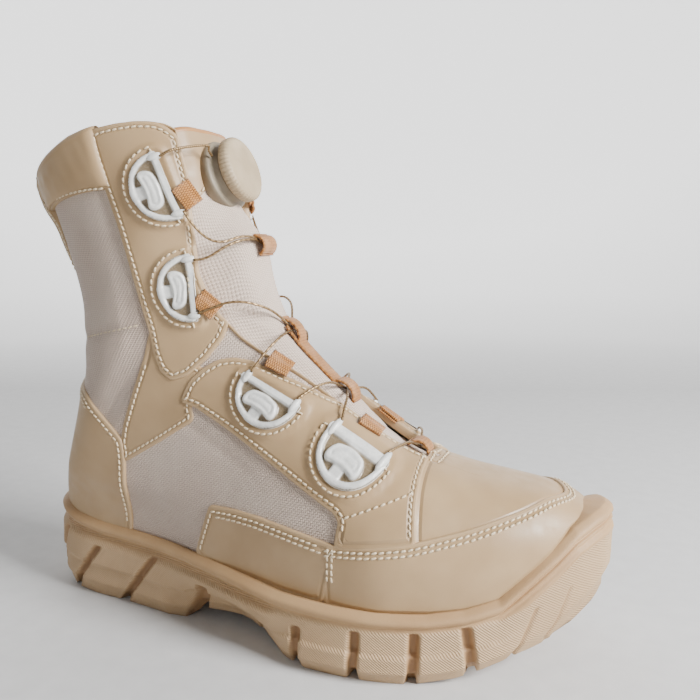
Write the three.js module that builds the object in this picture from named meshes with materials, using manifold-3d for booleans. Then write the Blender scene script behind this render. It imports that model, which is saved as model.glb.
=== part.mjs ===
// Right combat boot with a dial lace, millimetres, +Z up.
// The toe points to +X and the outer side of the foot is towards -Y.
// The heel back is near x = 0, the ground is z = 0 and the shaft's middle plane is y = 0.
import * as THREE from 'three';
import { mergeVertices } from 'three/addons/utils/BufferGeometryUtils.js';
import Module from 'manifold-3d';

const wasm = await Module();
wasm.setup();

// Named sizes of the boot
const LENGTH = 300;
const HEIGHT = 250;
const BALL = 110;
const WALL = 2.4;
const SKIN = 1.4;
const COLLAR_THICK = 4.2;
const COLLAR_PAD = 3.4;
const GAP = 0.35;
const THROAT_START = 5.55;
const SHAFT_START = 15;
const TONGUE_TOP = 247;
const TONGUE_THICK = 3;
const INSOLE_THICK = 4.5;
const GUIDE_LONG = 33;
const GUIDE_DEEP = 16.5;
const GUIDE_THICK = 3.4;
const WEB_THICK = 1.3;
const LACE_RADIUS = 0.7;
const DIAL_RADIUS = 16.5;
const DIAL_BASE = 6.4;
const DIAL_KNOB = 6.6;

// Colours as they look in daylight
const LEATHER = 0xb99e7c;
const CLOTH = 0xcbbcae;
const RUBBER = 0xb39a77;
const LINING = 0xd8d2c6;
const WEBBING = 0xc79a6f;
const PLASTIC = 0xdadbd8;
const STEEL = 0x4a3f30;

// Sections from the toe over the instep to the collar, a row each.
// front_x, back_x are shares of LENGTH, front_z, back_z of HEIGHT, outer, inner, mid_y of BALL.
// wide is how far up the section its widest place lies, top and low are the roundness
// above and below it, and foot is the width of the bottom edge against the widest place.
const COLUMNS = ['front_x', 'front_z', 'back_x', 'back_z', 'outer', 'inner', 'mid_y', 'wide', 'top', 'low', 'foot'];
const SECTIONS = [
  [0.970, 0.224, 0.970, 0.120, 0.000, 0.000, 0.109, 0.40, 2.6, 2.2, 0.95],
  [0.962, 0.256, 0.962, 0.118, 0.135, 0.135, 0.108, 0.40, 2.6, 2.2, 0.95],
  [0.937, 0.282, 0.937, 0.114, 0.218, 0.245, 0.100, 0.38, 2.6, 2.2, 0.95],
  [0.895, 0.308, 0.895, 0.108, 0.305, 0.300, 0.077, 0.36, 2.5, 2.2, 0.95],
  [0.837, 0.322, 0.837, 0.100, 0.384, 0.357, 0.050, 0.34, 2.4, 2.2, 0.95],
  [0.763, 0.340, 0.763, 0.094, 0.440, 0.391, 0.018, 0.32, 2.3, 2.2, 0.94],
  [0.680, 0.376, 0.673, 0.090, 0.486, 0.396, 0.000, 0.30, 2.2, 2.2, 0.94],
  [0.590, 0.448, 0.573, 0.088, 0.473, 0.364, 0.000, 0.28, 2.1, 2.2, 0.93],
  [0.515, 0.526, 0.463, 0.090, 0.432, 0.332, 0.000, 0.30, 2.0, 2.2, 0.92],
  [0.470, 0.584, 0.347, 0.096, 0.391, 0.318, 0.000, 0.34, 2.0, 2.2, 0.90],
  [0.445, 0.640, 0.233, 0.104, 0.368, 0.327, 0.000, 0.40, 2.0, 2.2, 0.84],
  [0.429, 0.700, 0.127, 0.112, 0.359, 0.341, 0.000, 0.44, 2.0, 2.2, 0.78],
  [0.422, 0.736, 0.070, 0.116, 0.359, 0.350, 0.000, 0.46, 2.0, 2.2, 0.62],
  [0.414, 0.764, 0.035, 0.120, 0.360, 0.352, 0.000, 0.47, 2.0, 2.2, 0.43],
  [0.408, 0.784, 0.022, 0.126, 0.360, 0.354, 0.000, 0.47, 2.0, 2.2, 0.25],
  [0.403, 0.800, 0.017, 0.144, 0.360, 0.355, 0.000, 0.47, 2.0, 2.2, 0.00],
  [0.397, 0.824, 0.033, 0.228, 0.360, 0.357, 0.000, 0.47, 2.0, 2.2, 0.00],
  [0.388, 0.854, 0.062, 0.352, 0.355, 0.358, 0.000, 0.48, 2.0, 2.2, 0.00],
  [0.379, 0.886, 0.082, 0.480, 0.352, 0.360, 0.000, 0.49, 2.0, 2.2, 0.00],
  [0.370, 0.918, 0.081, 0.604, 0.355, 0.366, 0.000, 0.50, 2.1, 2.2, 0.00],
  [0.359, 0.952, 0.057, 0.728, 0.370, 0.380, 0.000, 0.50, 2.1, 2.2, 0.00],
  [0.348, 0.988, 0.023, 0.844, 0.385, 0.392, 0.000, 0.50, 2.1, 2.2, 0.00],
  [0.337, 1.024, 0.000, 0.928, 0.390, 0.400, 0.000, 0.50, 2.1, 2.2, 0.00],
];
const SCALES = [LENGTH, HEIGHT, LENGTH, HEIGHT, BALL, BALL, BALL, 1, 1, 1, 1];
const TABLE = SECTIONS.map((row) => row.map((value, k) => value * SCALES[k]));
const LAST = TABLE.length - 1;

// Half width of the throat opening at each section
const THROAT = [9, 9, 9, 9, 9, 9.5, 11, 14.5, 18, 21.5, 24.5, 26.5, 27.5, 27.5, 27.5, 27.5, 27.5, 27.5, 27.5, 27.5, 28, 28, 28];

// Height of the collar line against x: dipped at the back, raised wings at the front
const COLLAR = [
  [-20, 221], [0, 221.5], [10, 224], [26, 231], [42, 238], [56, 242],
  [70, 244.6], [82, 245.6], [90, 244.5], [95, 241], [99, 235], [104, 224],
];

// The outlines below are drawn for a boot of 300 by 250 with a 110 ball and grow with its sizes
const LONG = LENGTH / 300;
const HIGH = HEIGHT / 250;
const WIDE = BALL / 110;
const planOf = (list) => list.map(([x, y]) => [x * LONG, y * WIDE]);
const sideOn = (list) => list.map(([x, z]) => [x * LONG, z * HIGH]);

// Outline of the sole seen from above, heel back to toe tip, outer and inner side
const SOLE_OUTER = planOf([
  [0, 0], [2, -12], [8, -22], [18, -29.5], [35, -34], [60, -36.5], [88, -41], [112, -47.5], [135, -54],
  [158, -59], [180, -61], [200, -60.5], [218, -57], [235, -51], [250, -44.5], [264, -35.5], [277, -24], [288, -11], [296, 2], [299, 13],
]);
const SOLE_INNER = planOf([
  [0, 0], [2, 12], [8, 22], [18, 29.5], [35, 34], [55, 35.5], [80, 35], [105, 35], [130, 37],
  [155, 41], [180, 46], [205, 50], [228, 51.5], [245, 51.5], [262, 49.5], [275, 45.5], [286, 39], [294, 30], [298, 21], [299, 13],
]);

// Height of the sole's top edge and of its underside against x
const BEAD_TOP = sideOn([
  [0, 50], [10, 48.5], [25, 44.5], [45, 42], [87, 40], [112, 38.5], [134, 36.5], [158, 33.5], [185, 32.5],
  [205, 32], [228, 32.5], [243, 34.5], [257, 38.5], [267, 47.5], [278, 57], [286, 65], [293, 69], [299, 71],
]);
const UNDERSIDE = sideOn([
  [0, 6], [5, 3], [14, 0], [222, 0], [240, 3], [252, 7], [262, 11], [272, 14.5], [282, 20], [291, 27], [299, 36],
]);
const WAIST = planOf([[85, 0], [105, 7], [125, 13], [142, 11], [160, 4], [172, 0]]);

function between(table, x) {
  if (x <= table[0][0]) return table[0][1];
  for (let k = 1; k < table.length; k += 1) {
    if (x <= table[k][0]) {
      const [x0, y0] = table[k - 1];
      const [x1, y1] = table[k];
      return y0 + ((y1 - y0) * (x - x0)) / (x1 - x0);
    }
  }
  return table[table.length - 1][1];
}

function ease(a, b, x) {
  const f = Math.min(Math.max((x - a) / (b - a), 0), 1);
  return f * f * (3 - 2 * f);
}

function row(k) {
  if (k < 0) {
    const mirrored = TABLE[1].slice();
    mirrored[4] = -mirrored[4];
    mirrored[5] = -mirrored[5];
    return mirrored;
  }
  if (k > LAST) return TABLE[LAST].map((value, c) => 2 * value - TABLE[LAST - 1][c]);
  return TABLE[k];
}

// Section between the rows, smooth through all of them
function station(t) {
  const at = Math.min(Math.max(t, 0), LAST);
  const k = Math.min(Math.floor(at), LAST - 1);
  const f = at - k;
  const [a, b, c, d] = [row(k - 1), row(k), row(k + 1), row(k + 2)];
  const values = a.map((_, i) => 0.5 * (2 * b[i] + (c[i] - a[i]) * f
    + (2 * a[i] - 5 * b[i] + 4 * c[i] - d[i]) * f * f + (3 * b[i] - a[i] - 3 * c[i] + d[i]) * f * f * f));
  const named = {};
  COLUMNS.forEach((name, i) => { named[name] = values[i]; });
  named.outer = Math.max(named.outer, 0);
  named.inner = Math.max(named.inner, 0);
  named.foot = Math.min(Math.max(named.foot, 0), 0.99);
  return named;
}

// Half section as a list of [share of the width, share of the height, length so far]
const halves = new Map();
function half(t, side) {
  const key = `${t.toFixed(5)} ${side}`;
  if (halves.has(key)) return halves.get(key);
  const s = station(t);
  const width = side < 0 ? s.outer : s.inner;
  const height = Math.hypot(s.front_x - s.back_x, s.front_z - s.back_z);
  const list = [];
  const steps = 48;
  for (let k = 0; k <= steps; k += 1) {
    const a = (Math.PI / 2) * (1 - k / steps);
    list.push([Math.cos(a) ** (2 / s.top), s.wide + (1 - s.wide) * Math.sin(a) ** (2 / s.top)]);
  }
  const end = Math.acos(s.foot ** (s.low / 2));
  for (let k = 1; k <= steps; k += 1) {
    const a = (end * k) / steps;
    const drop = Math.sin(a) ** (2 / s.low) / Math.sin(end) ** (2 / s.low);
    list.push([Math.cos(a) ** (2 / s.low), s.wide * (1 - drop)]);
  }
  let run = 0;
  list.forEach((p, k) => {
    if (k > 0) run += Math.hypot((p[0] - list[k - 1][0]) * width, (p[1] - list[k - 1][1]) * height);
    p.push(run);
  });
  const result = { s, width, list, run: Math.max(run, 1e-6) };
  halves.set(key, result);
  return result;
}

// Point of the outer surface: u = 0 outer bottom edge, 0.5 the ridge, 1 inner bottom edge
function surface(t, u) {
  const side = u < 0.5 ? -1 : 1;
  const { s, width, list, run } = half(t, side);
  const goal = Math.min(Math.abs(u - 0.5) * 2, 1) * run;
  let k = 1;
  while (k < list.length - 1 && list[k][2] < goal) k += 1;
  const [a, b] = [list[k - 1], list[k]];
  const f = (goal - a[2]) / Math.max(b[2] - a[2], 1e-9);
  const across = a[0] + (b[0] - a[0]) * f;
  const up = a[1] + (b[1] - a[1]) * f;
  return new THREE.Vector3(
    s.back_x + (s.front_x - s.back_x) * up,
    s.mid_y + side * width * across,
    s.back_z + (s.front_z - s.back_z) * up,
  );
}

function normal(t, u) {
  const dt = 0.04;
  const du = 0.012;
  const along = surface(Math.min(t + dt, LAST), u).sub(surface(Math.max(t - dt, 0), u));
  const across = surface(t, Math.min(u + du, 1)).sub(surface(t, Math.max(u - du, 0)));
  const n = across.cross(along);
  if (t < 0.02 || (t > SHAFT_START - 0.01 && (u < 0.001 || u > 0.999))) n.y = 0;
  if (t < 0.02) return n.set(1, 0, n.z / (Math.abs(n.x) + 1e-6) > 0 ? 0.1 : 0).normalize();
  return n.normalize();
}

function lifted(t, u, d) {
  return surface(t, u).addScaledVector(normal(t, u), d);
}

// Place on the ridge side where the half width reaches y
function throatU(t, y, side) {
  const { width, list, run } = half(t, side);
  let k = 1;
  while (k < list.length - 1 && list[k][0] * width < y) k += 1;
  const [a, b] = [list[k - 1], list[k]];
  const f = Math.min(Math.max((y / width - a[0]) / Math.max(b[0] - a[0], 1e-9), 0), 1);
  return 0.5 + (side * 0.5 * (a[2] + (b[2] - a[2]) * f)) / run;
}

function throatHalf(t) {
  const k = Math.min(Math.floor(t), LAST - 1);
  return THROAT[k] + (THROAT[k + 1] - THROAT[k]) * (t - k);
}

function throatEdges(t) {
  const at = Math.max(t, 3);
  const y = throatHalf(at);
  const low = [throatU(at, y, -1), throatU(at, y, 1)];
  return low;
}

// Last t before the surface passes the collar line
const tops = new Map();
function collarT(u) {
  const key = u.toFixed(4);
  if (tops.has(key)) return tops.get(key);
  let low = SHAFT_START + 1;
  let high = LAST;
  for (let k = 0; k < 24; k += 1) {
    const mid = (low + high) / 2;
    const p = surface(mid, u);
    if (p.z < between(COLLAR, p.x)) low = mid;
    else high = mid;
  }
  tops.set(key, low);
  return low;
}

// Closed geometry from triangles given as corner points
function fromTriangles(corners) {
  const geometry = new THREE.BufferGeometry();
  const flat = new Float32Array(corners.length * 3);
  corners.forEach((p, k) => { flat[3 * k] = p.x; flat[3 * k + 1] = p.y; flat[3 * k + 2] = p.z; });
  geometry.setAttribute('position', new THREE.BufferAttribute(flat, 3));
  return weld(geometry);
}

function weld(geometry) {
  const plain = geometry.clone();
  plain.deleteAttribute('normal');
  plain.deleteAttribute('uv');
  const merged = mergeVertices(plain, 1e-4);
  const index = merged.getIndex().array;
  const kept = [];
  for (let k = 0; k < index.length; k += 3) {
    const [a, b, c] = [index[k], index[k + 1], index[k + 2]];
    if (a !== b && b !== c && a !== c) kept.push(a, b, c);
  }
  merged.setIndex(kept);
  return merged;
}

function quad(list, a, b, c, d) {
  list.push(a, b, c, a, c, d);
}

// Sheet with a wall: rows of outside points, rows of inside points and the cells that exist
function sheet(outside, inside, exists) {
  const list = [];
  const rows = outside.length - 1;
  const cols = outside[0].length - 1;
  const has = (i, j) => i >= 0 && j >= 0 && i < rows && j < cols && exists(i, j);
  for (let i = 0; i < rows; i += 1) {
    for (let j = 0; j < cols; j += 1) {
      if (!has(i, j)) continue;
      const o = [outside[i][j], outside[i + 1][j], outside[i + 1][j + 1], outside[i][j + 1]];
      const n = [inside[i][j], inside[i + 1][j], inside[i + 1][j + 1], inside[i][j + 1]];
      quad(list, o[0], o[1], o[2], o[3]);
      quad(list, n[3], n[2], n[1], n[0]);
      if (!has(i - 1, j)) quad(list, o[0], o[3], n[3], n[0]);
      if (!has(i + 1, j)) quad(list, o[2], o[1], n[1], n[2]);
      if (!has(i, j - 1)) quad(list, o[1], o[0], n[0], n[1]);
      if (!has(i, j + 1)) quad(list, o[3], o[2], n[2], n[3]);
    }
  }
  return list.reverse();
}

function solid(geometry) {
  const g = weld(geometry);
  const made = new wasm.Manifold(new wasm.Mesh({
    numProp: 3,
    vertProperties: new Float32Array(g.getAttribute('position').array),
    triVerts: new Uint32Array(g.getIndex().array),
  }));
  return made;
}

function geometryOf(manifold) {
  const mesh = manifold.getMesh();
  const geometry = new THREE.BufferGeometry();
  const count = mesh.vertProperties.length / mesh.numProp;
  const flat = new Float32Array(count * 3);
  for (let k = 0; k < count; k += 1) {
    for (let c = 0; c < 3; c += 1) flat[3 * k + c] = mesh.vertProperties[k * mesh.numProp + c];
  }
  geometry.setAttribute('position', new THREE.BufferAttribute(flat, 3));
  geometry.setIndex(new THREE.BufferAttribute(new Uint32Array(mesh.triVerts), 1));
  return geometry;
}

const boot = new THREE.Group();

function add(name, geometry, color, roughness = 0.8, metalness = 0) {
  const mesh = new THREE.Mesh(geometry, new THREE.MeshStandardMaterial({ color, roughness, metalness }));
  mesh.name = name;
  boot.add(mesh);
  return mesh;
}

// Grid of the upper: its columns follow the throat edges and its last row the collar line
const SIDE_CELLS = 8;
const THROAT_CELLS = 6;
const UPPER_COLS = SIDE_CELLS * 2 + THROAT_CELLS;
const UPPER_ROWS = [];
for (let k = 0; k <= LAST; k += 1) UPPER_ROWS.push(...(k < SHAFT_START ? [k, k + 0.5] : [k]));
UPPER_ROWS[UPPER_ROWS.indexOf(5.5)] = THROAT_START;
const RISE = 18;

function columnU(t, j) {
  const [a, b] = throatEdges(t);
  if (j <= SIDE_CELLS) return (a * j) / SIDE_CELLS;
  if (j <= SIDE_CELLS + THROAT_CELLS) return a + ((b - a) * (j - SIDE_CELLS)) / THROAT_CELLS;
  return b + ((1 - b) * (j - SIDE_CELLS - THROAT_CELLS)) / SIDE_CELLS;
}

function upperPlace(t, j) {
  if (t <= RISE) return [t, columnU(t, j)];
  const top = collarT(columnU(20.5, j));
  const at = RISE + ((t - RISE) / (LAST - RISE)) * (top - RISE);
  return [at, columnU(at, j)];
}

function wallAt(t, u) {
  const edge = Math.min(Math.abs(u - throatEdges(t)[0]), Math.abs(u - throatEdges(t)[1]));
  return WALL + COLLAR_PAD * ease(19, 20.5, t) * ease(0.06, 0.14, edge);
}

function grid(lift) {
  return UPPER_ROWS.map((t) => {
    const points = [];
    for (let j = 0; j <= UPPER_COLS; j += 1) {
      const [at, u] = upperPlace(t, j);
      points.push(lifted(at, u, lift(at, u)));
    }
    return points;
  });
}

// Shell between two distances from the outer surface, open at the throat, collar and underneath.
// The back seam of the shaft closes on itself, so the two end columns share their points.
function shell(outer, inner) {
  const outside = grid(outer);
  const inside = grid(inner);
  const list = [];
  const shaft = UPPER_ROWS.indexOf(SHAFT_START);
  const inThroat = (j) => j >= SIDE_CELLS && j < SIDE_CELLS + THROAT_CELLS;
  const open = UPPER_ROWS.indexOf(THROAT_START);
  UPPER_ROWS.forEach((_, i) => {
    if (i < shaft) return;
    outside[i][UPPER_COLS] = outside[i][0];
    inside[i][UPPER_COLS] = inside[i][0];
  });
  for (let j = 0; j <= UPPER_COLS / 2; j += 1) {
    outside[0][UPPER_COLS - j] = outside[0][j];
    inside[0][UPPER_COLS - j] = inside[0][j];
  }
  const rows = UPPER_ROWS.length - 1;
  for (let i = 0; i < rows; i += 1) {
    for (let j = 0; j < UPPER_COLS; j += 1) {
      if (i >= open && inThroat(j)) continue;
      const o = [outside[i][j], outside[i + 1][j], outside[i + 1][j + 1], outside[i][j + 1]];
      const n = [inside[i][j], inside[i + 1][j], inside[i + 1][j + 1], inside[i][j + 1]];
      quad(list, o[0], o[1], o[2], o[3]);
      quad(list, n[3], n[2], n[1], n[0]);
      if (i === open - 1 && inThroat(j)) quad(list, o[2], o[1], n[1], n[2]);
      if (i === rows - 1) quad(list, o[2], o[1], n[1], n[2]);
      if (i >= open && j === SIDE_CELLS + THROAT_CELLS) quad(list, o[1], o[0], n[0], n[1]);
      if (i >= open && j === SIDE_CELLS - 1) quad(list, o[3], o[2], n[2], n[3]);
      if (i < shaft && j === 0) quad(list, o[1], o[0], n[0], n[1]);
      if (i < shaft && j === UPPER_COLS - 1) quad(list, o[3], o[2], n[2], n[3]);
    }
  }
  return fromTriangles(list.reverse());
}

// Space that the upper fills, with a little air, used to hollow the sole
function footSpace(air) {
  const rows = UPPER_ROWS.filter((t) => t <= RISE);
  const cols = UPPER_COLS;
  const net = rows.map((t) => {
    const points = [];
    for (let j = 0; j <= cols; j += 1) points.push(lifted(t, columnU(t, j), air));
    return points;
  });
  net.forEach((points, i) => {
    if (rows[i] < SHAFT_START) return;
    points[cols] = points[0];
  });
  for (let j = 0; j <= cols / 2; j += 1) net[0][cols - j] = net[0][j];
  const shaft = rows.indexOf(SHAFT_START);
  const list = [];
  for (let i = 0; i < rows.length - 1; i += 1) {
    for (let j = 0; j < cols; j += 1) {
      quad(list, net[i][j], net[i + 1][j], net[i + 1][j + 1], net[i][j + 1]);
    }
  }
  const last = net[rows.length - 1];
  const middle = last[0].clone().add(last[cols / 2]).multiplyScalar(0.5);
  for (let j = 0; j < cols; j += 1) list.push(last[j + 1], last[j], middle);
  const floor = net.map((points) => [points[0].clone(), points[cols].clone()]);
  floor.forEach((pair, i) => {
    if (i >= shaft) return;
    pair.forEach((p) => { p.z -= air; });
  });
  floor[0][1] = floor[0][0];
  for (let i = 0; i < shaft; i += 1) {
    const [a, b] = [floor[i], floor[i + 1]];
    const [g, h] = [net[i], net[i + 1]];
    quad(list, h[0], g[0], a[0], b[0]);
    quad(list, g[cols], h[cols], b[1], a[1]);
    quad(list, a[0], a[1], b[1], b[0]);
  }
  return fromTriangles(list.reverse());
}

// Outline of the sole as two matching lists of points, moved inwards by a distance
const SOLE_STEPS = 44;
function soleSide(table) {
  const curve = new THREE.SplineCurve(table.map(([x, y]) => new THREE.Vector2(x, y)));
  return curve.getSpacedPoints(SOLE_STEPS);
}
const OUTER_LINE = soleSide(SOLE_OUTER);
const INNER_LINE = soleSide(SOLE_INNER);

function movedIn(line, other, side, distance) {
  return line.map((p, k) => {
    const before = k > 0 ? line[k - 1] : other[1];
    const after = k < SOLE_STEPS ? line[k + 1] : other[SOLE_STEPS - 1];
    const along = after.clone().sub(before).normalize();
    const d = typeof distance === 'function' ? distance(p.x) : distance;
    return new THREE.Vector2(p.x - side * along.y * d, p.y + side * along.x * d);
  });
}

function soleRing(inset, height) {
  const outer = movedIn(OUTER_LINE, INNER_LINE, 1, inset);
  const inner = movedIn(INNER_LINE, OUTER_LINE, -1, inset);
  inner[0] = outer[0];
  inner[SOLE_STEPS] = outer[SOLE_STEPS];
  return {
    outer: outer.map((p, k) => new THREE.Vector3(p.x, p.y, height(OUTER_LINE[k].x))),
    inner: inner.map((p, k) => new THREE.Vector3(p.x, p.y, height(INNER_LINE[k].x))),
  };
}

function soleBlock() {
  const top = (x) => between(BEAD_TOP, x);
  const low = (x) => between(UNDERSIDE, x);
  const waist = (x) => between(WAIST, x);
  const groove = (x) => 1 - ease(250, 262, x);
  const rings = [
    soleRing((x) => 5 + waist(x), low),
    soleRing((x) => 1.4 + waist(x) * 0.85, (x) => low(x) + 5),
    soleRing((x) => waist(x) * 0.4, (x) => (low(x) + top(x)) / 2 - 1),
    soleRing(0.4, (x) => top(x) - 11),
    soleRing((x) => 0.6 + 2.4 * groove(x), (x) => top(x) - 9.6),
    soleRing((x) => 0.8 + 2.2 * groove(x), (x) => top(x) - 7.4),
    soleRing((x) => 1 + 0.4 * groove(x), (x) => top(x) - 6),
    soleRing(0.9, (x) => top(x) - 3),
    soleRing(2, (x) => top(x) - 0.9),
    soleRing(4.2, top),
  ];
  const list = [];
  rings.forEach((ring, i) => {
    if (i === 0) return;
    const under = rings[i - 1];
    for (let k = 0; k < SOLE_STEPS; k += 1) {
      quad(list, under.outer[k], under.outer[k + 1], ring.outer[k + 1], ring.outer[k]);
      quad(list, under.inner[k + 1], under.inner[k], ring.inner[k], ring.inner[k + 1]);
    }
  });
  const bottom = rings[0];
  const cap = rings[rings.length - 1];
  for (let k = 0; k < SOLE_STEPS; k += 1) {
    quad(list, bottom.outer[k + 1], bottom.outer[k], bottom.inner[k], bottom.inner[k + 1]);
    quad(list, cap.outer[k], cap.outer[k + 1], cap.inner[k + 1], cap.inner[k]);
  }
  return solid(fromTriangles(list));
}

function block(size, place, turn = [0, 0, 0]) {
  const g = new THREE.BoxGeometry(...size);
  g.applyMatrix4(new THREE.Matrix4().compose(
    new THREE.Vector3(...place),
    new THREE.Quaternion().setFromEuler(new THREE.Euler(...turn)),
    new THREE.Vector3(1, 1, 1),
  ));
  return solid(g);
}

// Bar across the sole with the given outline seen from the side
function across(outline, from = -90, to = 90) {
  const shape = new THREE.Shape(outline.map(([x, z]) => new THREE.Vector2(x, z)));
  const g = new THREE.ExtrudeGeometry(shape, { depth: to - from, bevelEnabled: false });
  g.rotateX(Math.PI / 2);
  g.translate(0, to, 0);
  return solid(g);
}

// Side grooves between the lugs: place along the sole, foot and head height, slant, width
const LUG_GROOVES = [
  { x: 31, low: -2, high: 27, lean: 0.62, wide: 4.5 },
  { x: 70, low: -2, high: 27, lean: 0.62, wide: 4.5 },
  { x: 178, low: -2, high: 19, lean: 0.12, wide: 4 },
  { x: 200, low: -2, high: 20, lean: 0.02, wide: 4 },
  { x: 225, low: -2, high: 21, lean: 0, wide: 4 },
  { x: 247, low: -1, high: 23, lean: -0.1, wide: 4 },
  { x: 264, low: 2, high: 30, lean: 0.25, wide: 4 },
];

function sideOf(line, x) {
  let best = line[0];
  line.forEach((p) => { if (Math.abs(p.x - x) < Math.abs(best.x - x)) best = p; });
  return best;
}

function makeSole() {
  let sole = soleBlock();
  sole = sole.subtract(solid(footSpace(GAP)));
  sole = sole.subtract(across([[97, -5], [104, 7.5], [132, 7.5], [150, 2.6], [158, -5]]));
  LUG_GROOVES.forEach((g) => {
    const tall = g.high - g.low;
    const mid = (g.high + g.low) / 2;
    [OUTER_LINE, INNER_LINE].forEach((line) => {
      const p = sideOf(line, g.x);
      const next = line[Math.min(line.indexOf(p) + 1, SOLE_STEPS)];
      const before = line[Math.max(line.indexOf(p) - 1, 0)];
      const angle = Math.atan2(next.y - before.y, next.x - before.x);
      sole = sole.subtract(block([g.wide, 8, tall], [p.x, p.y, mid], [0, g.lean, angle]));
    });
    if (g.x < 255) sole = sole.subtract(block([3.6, 150, 9], [g.x - g.lean * 10, 0, 0.6 + Math.max(g.x - 230, 0) * 0.14]));
  });
  return geometryOf(sole);
}

add('outsole', makeSole(), RUBBER, 0.85);
add('upper', shell(() => 0, (t, u) => -wallAt(t, u)), CLOTH, 0.9);

// Insole board on the sole inside the wall of the upper
function makeInsole() {
  const rows = UPPER_ROWS.filter((t) => t >= 0.5 && t < SHAFT_START - 0.4);
  const edge = rows.map((t) => [surface(t, 0), surface(t, 1)]);
  const inset = WALL + 1.6;
  const moved = edge.map((pair, i) => pair.map((p, side) => {
    const a = edge[Math.max(i - 1, 0)][side];
    const b = edge[Math.min(i + 1, rows.length - 1)][side];
    const along = new THREE.Vector2(b.x - a.x, b.y - a.y).normalize();
    const sign = side === 0 ? 1 : -1;
    return new THREE.Vector3(p.x + sign * along.y * inset, p.y - sign * along.x * inset, p.z + GAP * 0.3);
  }));
  const fit = moved.filter(([a, b]) => b.y - a.y > 6);
  const list = [];
  const up = (p) => p.clone().setZ(p.z + INSOLE_THICK);
  for (let i = 0; i < fit.length - 1; i += 1) {
    const [a, b] = [fit[i], fit[i + 1]];
    quad(list, b[0], b[1], a[1], a[0]);
    quad(list, up(a[0]), up(a[1]), up(b[1]), up(b[0]));
    quad(list, up(a[0]), up(b[0]), b[0], a[0]);
    quad(list, up(b[1]), up(a[1]), a[1], b[1]);
  }
  const [a, b] = [fit[0], fit[fit.length - 1]];
  quad(list, up(a[1]), up(a[0]), a[0], a[1]);
  quad(list, up(b[0]), up(b[1]), b[1], b[0]);
  return fromTriangles(list);
}
add('insole', makeInsole(), LINING, 0.95);

// Tongue: tucked under the throat edges and raised between them
const TONGUE_COLS = 12;
const TONGUE_SIDE = 8;
function tongueRows() {
  return UPPER_ROWS.filter((t) => t >= 5 && (t < RISE || Number.isInteger(t)));
}

function tongueT(t, v) {
  let low = 17;
  let high = LAST;
  const u = 0.5 + (throatEdges(20)[1] - 0.5) * 1.25 * v;
  const top = TONGUE_TOP - 7 * Math.abs(v) ** 3;
  for (let k = 0; k < 22; k += 1) {
    const mid = (low + high) / 2;
    if (surface(mid, u).z < top) low = mid;
    else high = mid;
  }
  return t <= 17 ? t : 17 + ((t - 17) / (LAST - 17)) * (low - 17);
}

// How far the tongue's middle lies under the outer surface, against height
const RECESS = [[188, 0.6], [198, 2], [208, 6], [220, 9.2], [235, 9], [250, 8.5]];

function tonguePoint(t, v, depth) {
  const at = tongueT(t, v);
  const { run } = half(at, v < 0 ? -1 : 1);
  const edge = Math.abs(throatEdges(at)[v < 0 ? 0 : 1] - 0.5);
  const reach = edge + (TONGUE_SIDE / run) * 0.5;
  const u = 0.5 + reach * v;
  const free = ease(5.7, 6.8, at) * (1 - ease(0.3, 0.82, (Math.abs(v) * reach) / edge));
  const tuck = WALL + GAP + 1.1;
  const middle = between(RECESS, surface(at, 0.5).z);
  const top = -tuck * (1 - free) - middle * free - 0.5 * Math.max(middle - tuck, 0) * (1 - free) * ease(1.4, 0.6, Math.abs(v) * 1.3);
  return lifted(at, u, top - depth);
}

function makeTongue() {
  const rows = tongueRows();
  const grid = (depth) => rows.map((t) => {
    const points = [];
    for (let j = 0; j <= TONGUE_COLS; j += 1) points.push(tonguePoint(t, (2 * j) / TONGUE_COLS - 1, depth));
    return points;
  });
  return fromTriangles(sheet(grid(0), grid(TONGUE_THICK), () => true));
}
add('tongue', makeTongue(), CLOTH, 0.9);

// Leather pieces: a second skin on the upper, cut out by an outline seen from the side
const skin = solid(shell(() => GAP + SKIN, () => GAP));
const collarSkin = solid(shell(() => GAP + COLLAR_THICK, () => GAP));
// Bottom edge of the leather pieces, a little under the sole's bead
function beadLine(from, to) {
  const line = [];
  const steps = Math.max(Math.ceil(Math.abs(to - from) / 12), 1);
  for (let k = 0; k <= steps; k += 1) {
    const x = from + ((to - from) * k) / steps;
    line.push([x, between(BEAD_TOP, x * LONG) / HIGH - 2.5 - 6 * ease(245, 255, x)]);
  }
  return line;
}

function largest(made) {
  const parts = made.decompose();
  return parts.reduce((a, b) => (b.volume() > a.volume() ? b : a), parts[0]);
}

// The sole's block raised a little: what lies under its bead is cut off the leather pieces
const BEAD_AIR = 0.4;
const beadRoom = soleBlock().translate([0, 0, BEAD_AIR]);
const upperRoom = solid(shell(() => GAP * 0.5, (t, u) => -wallAt(t, u)));
const SIDES = [['outer', -90, -4], ['inner', 4, 90]];
const OVER_SKIN = GAP * 2 + SKIN;
const underSkin = solid(shell(() => OVER_SKIN, () => -WALL));

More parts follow.
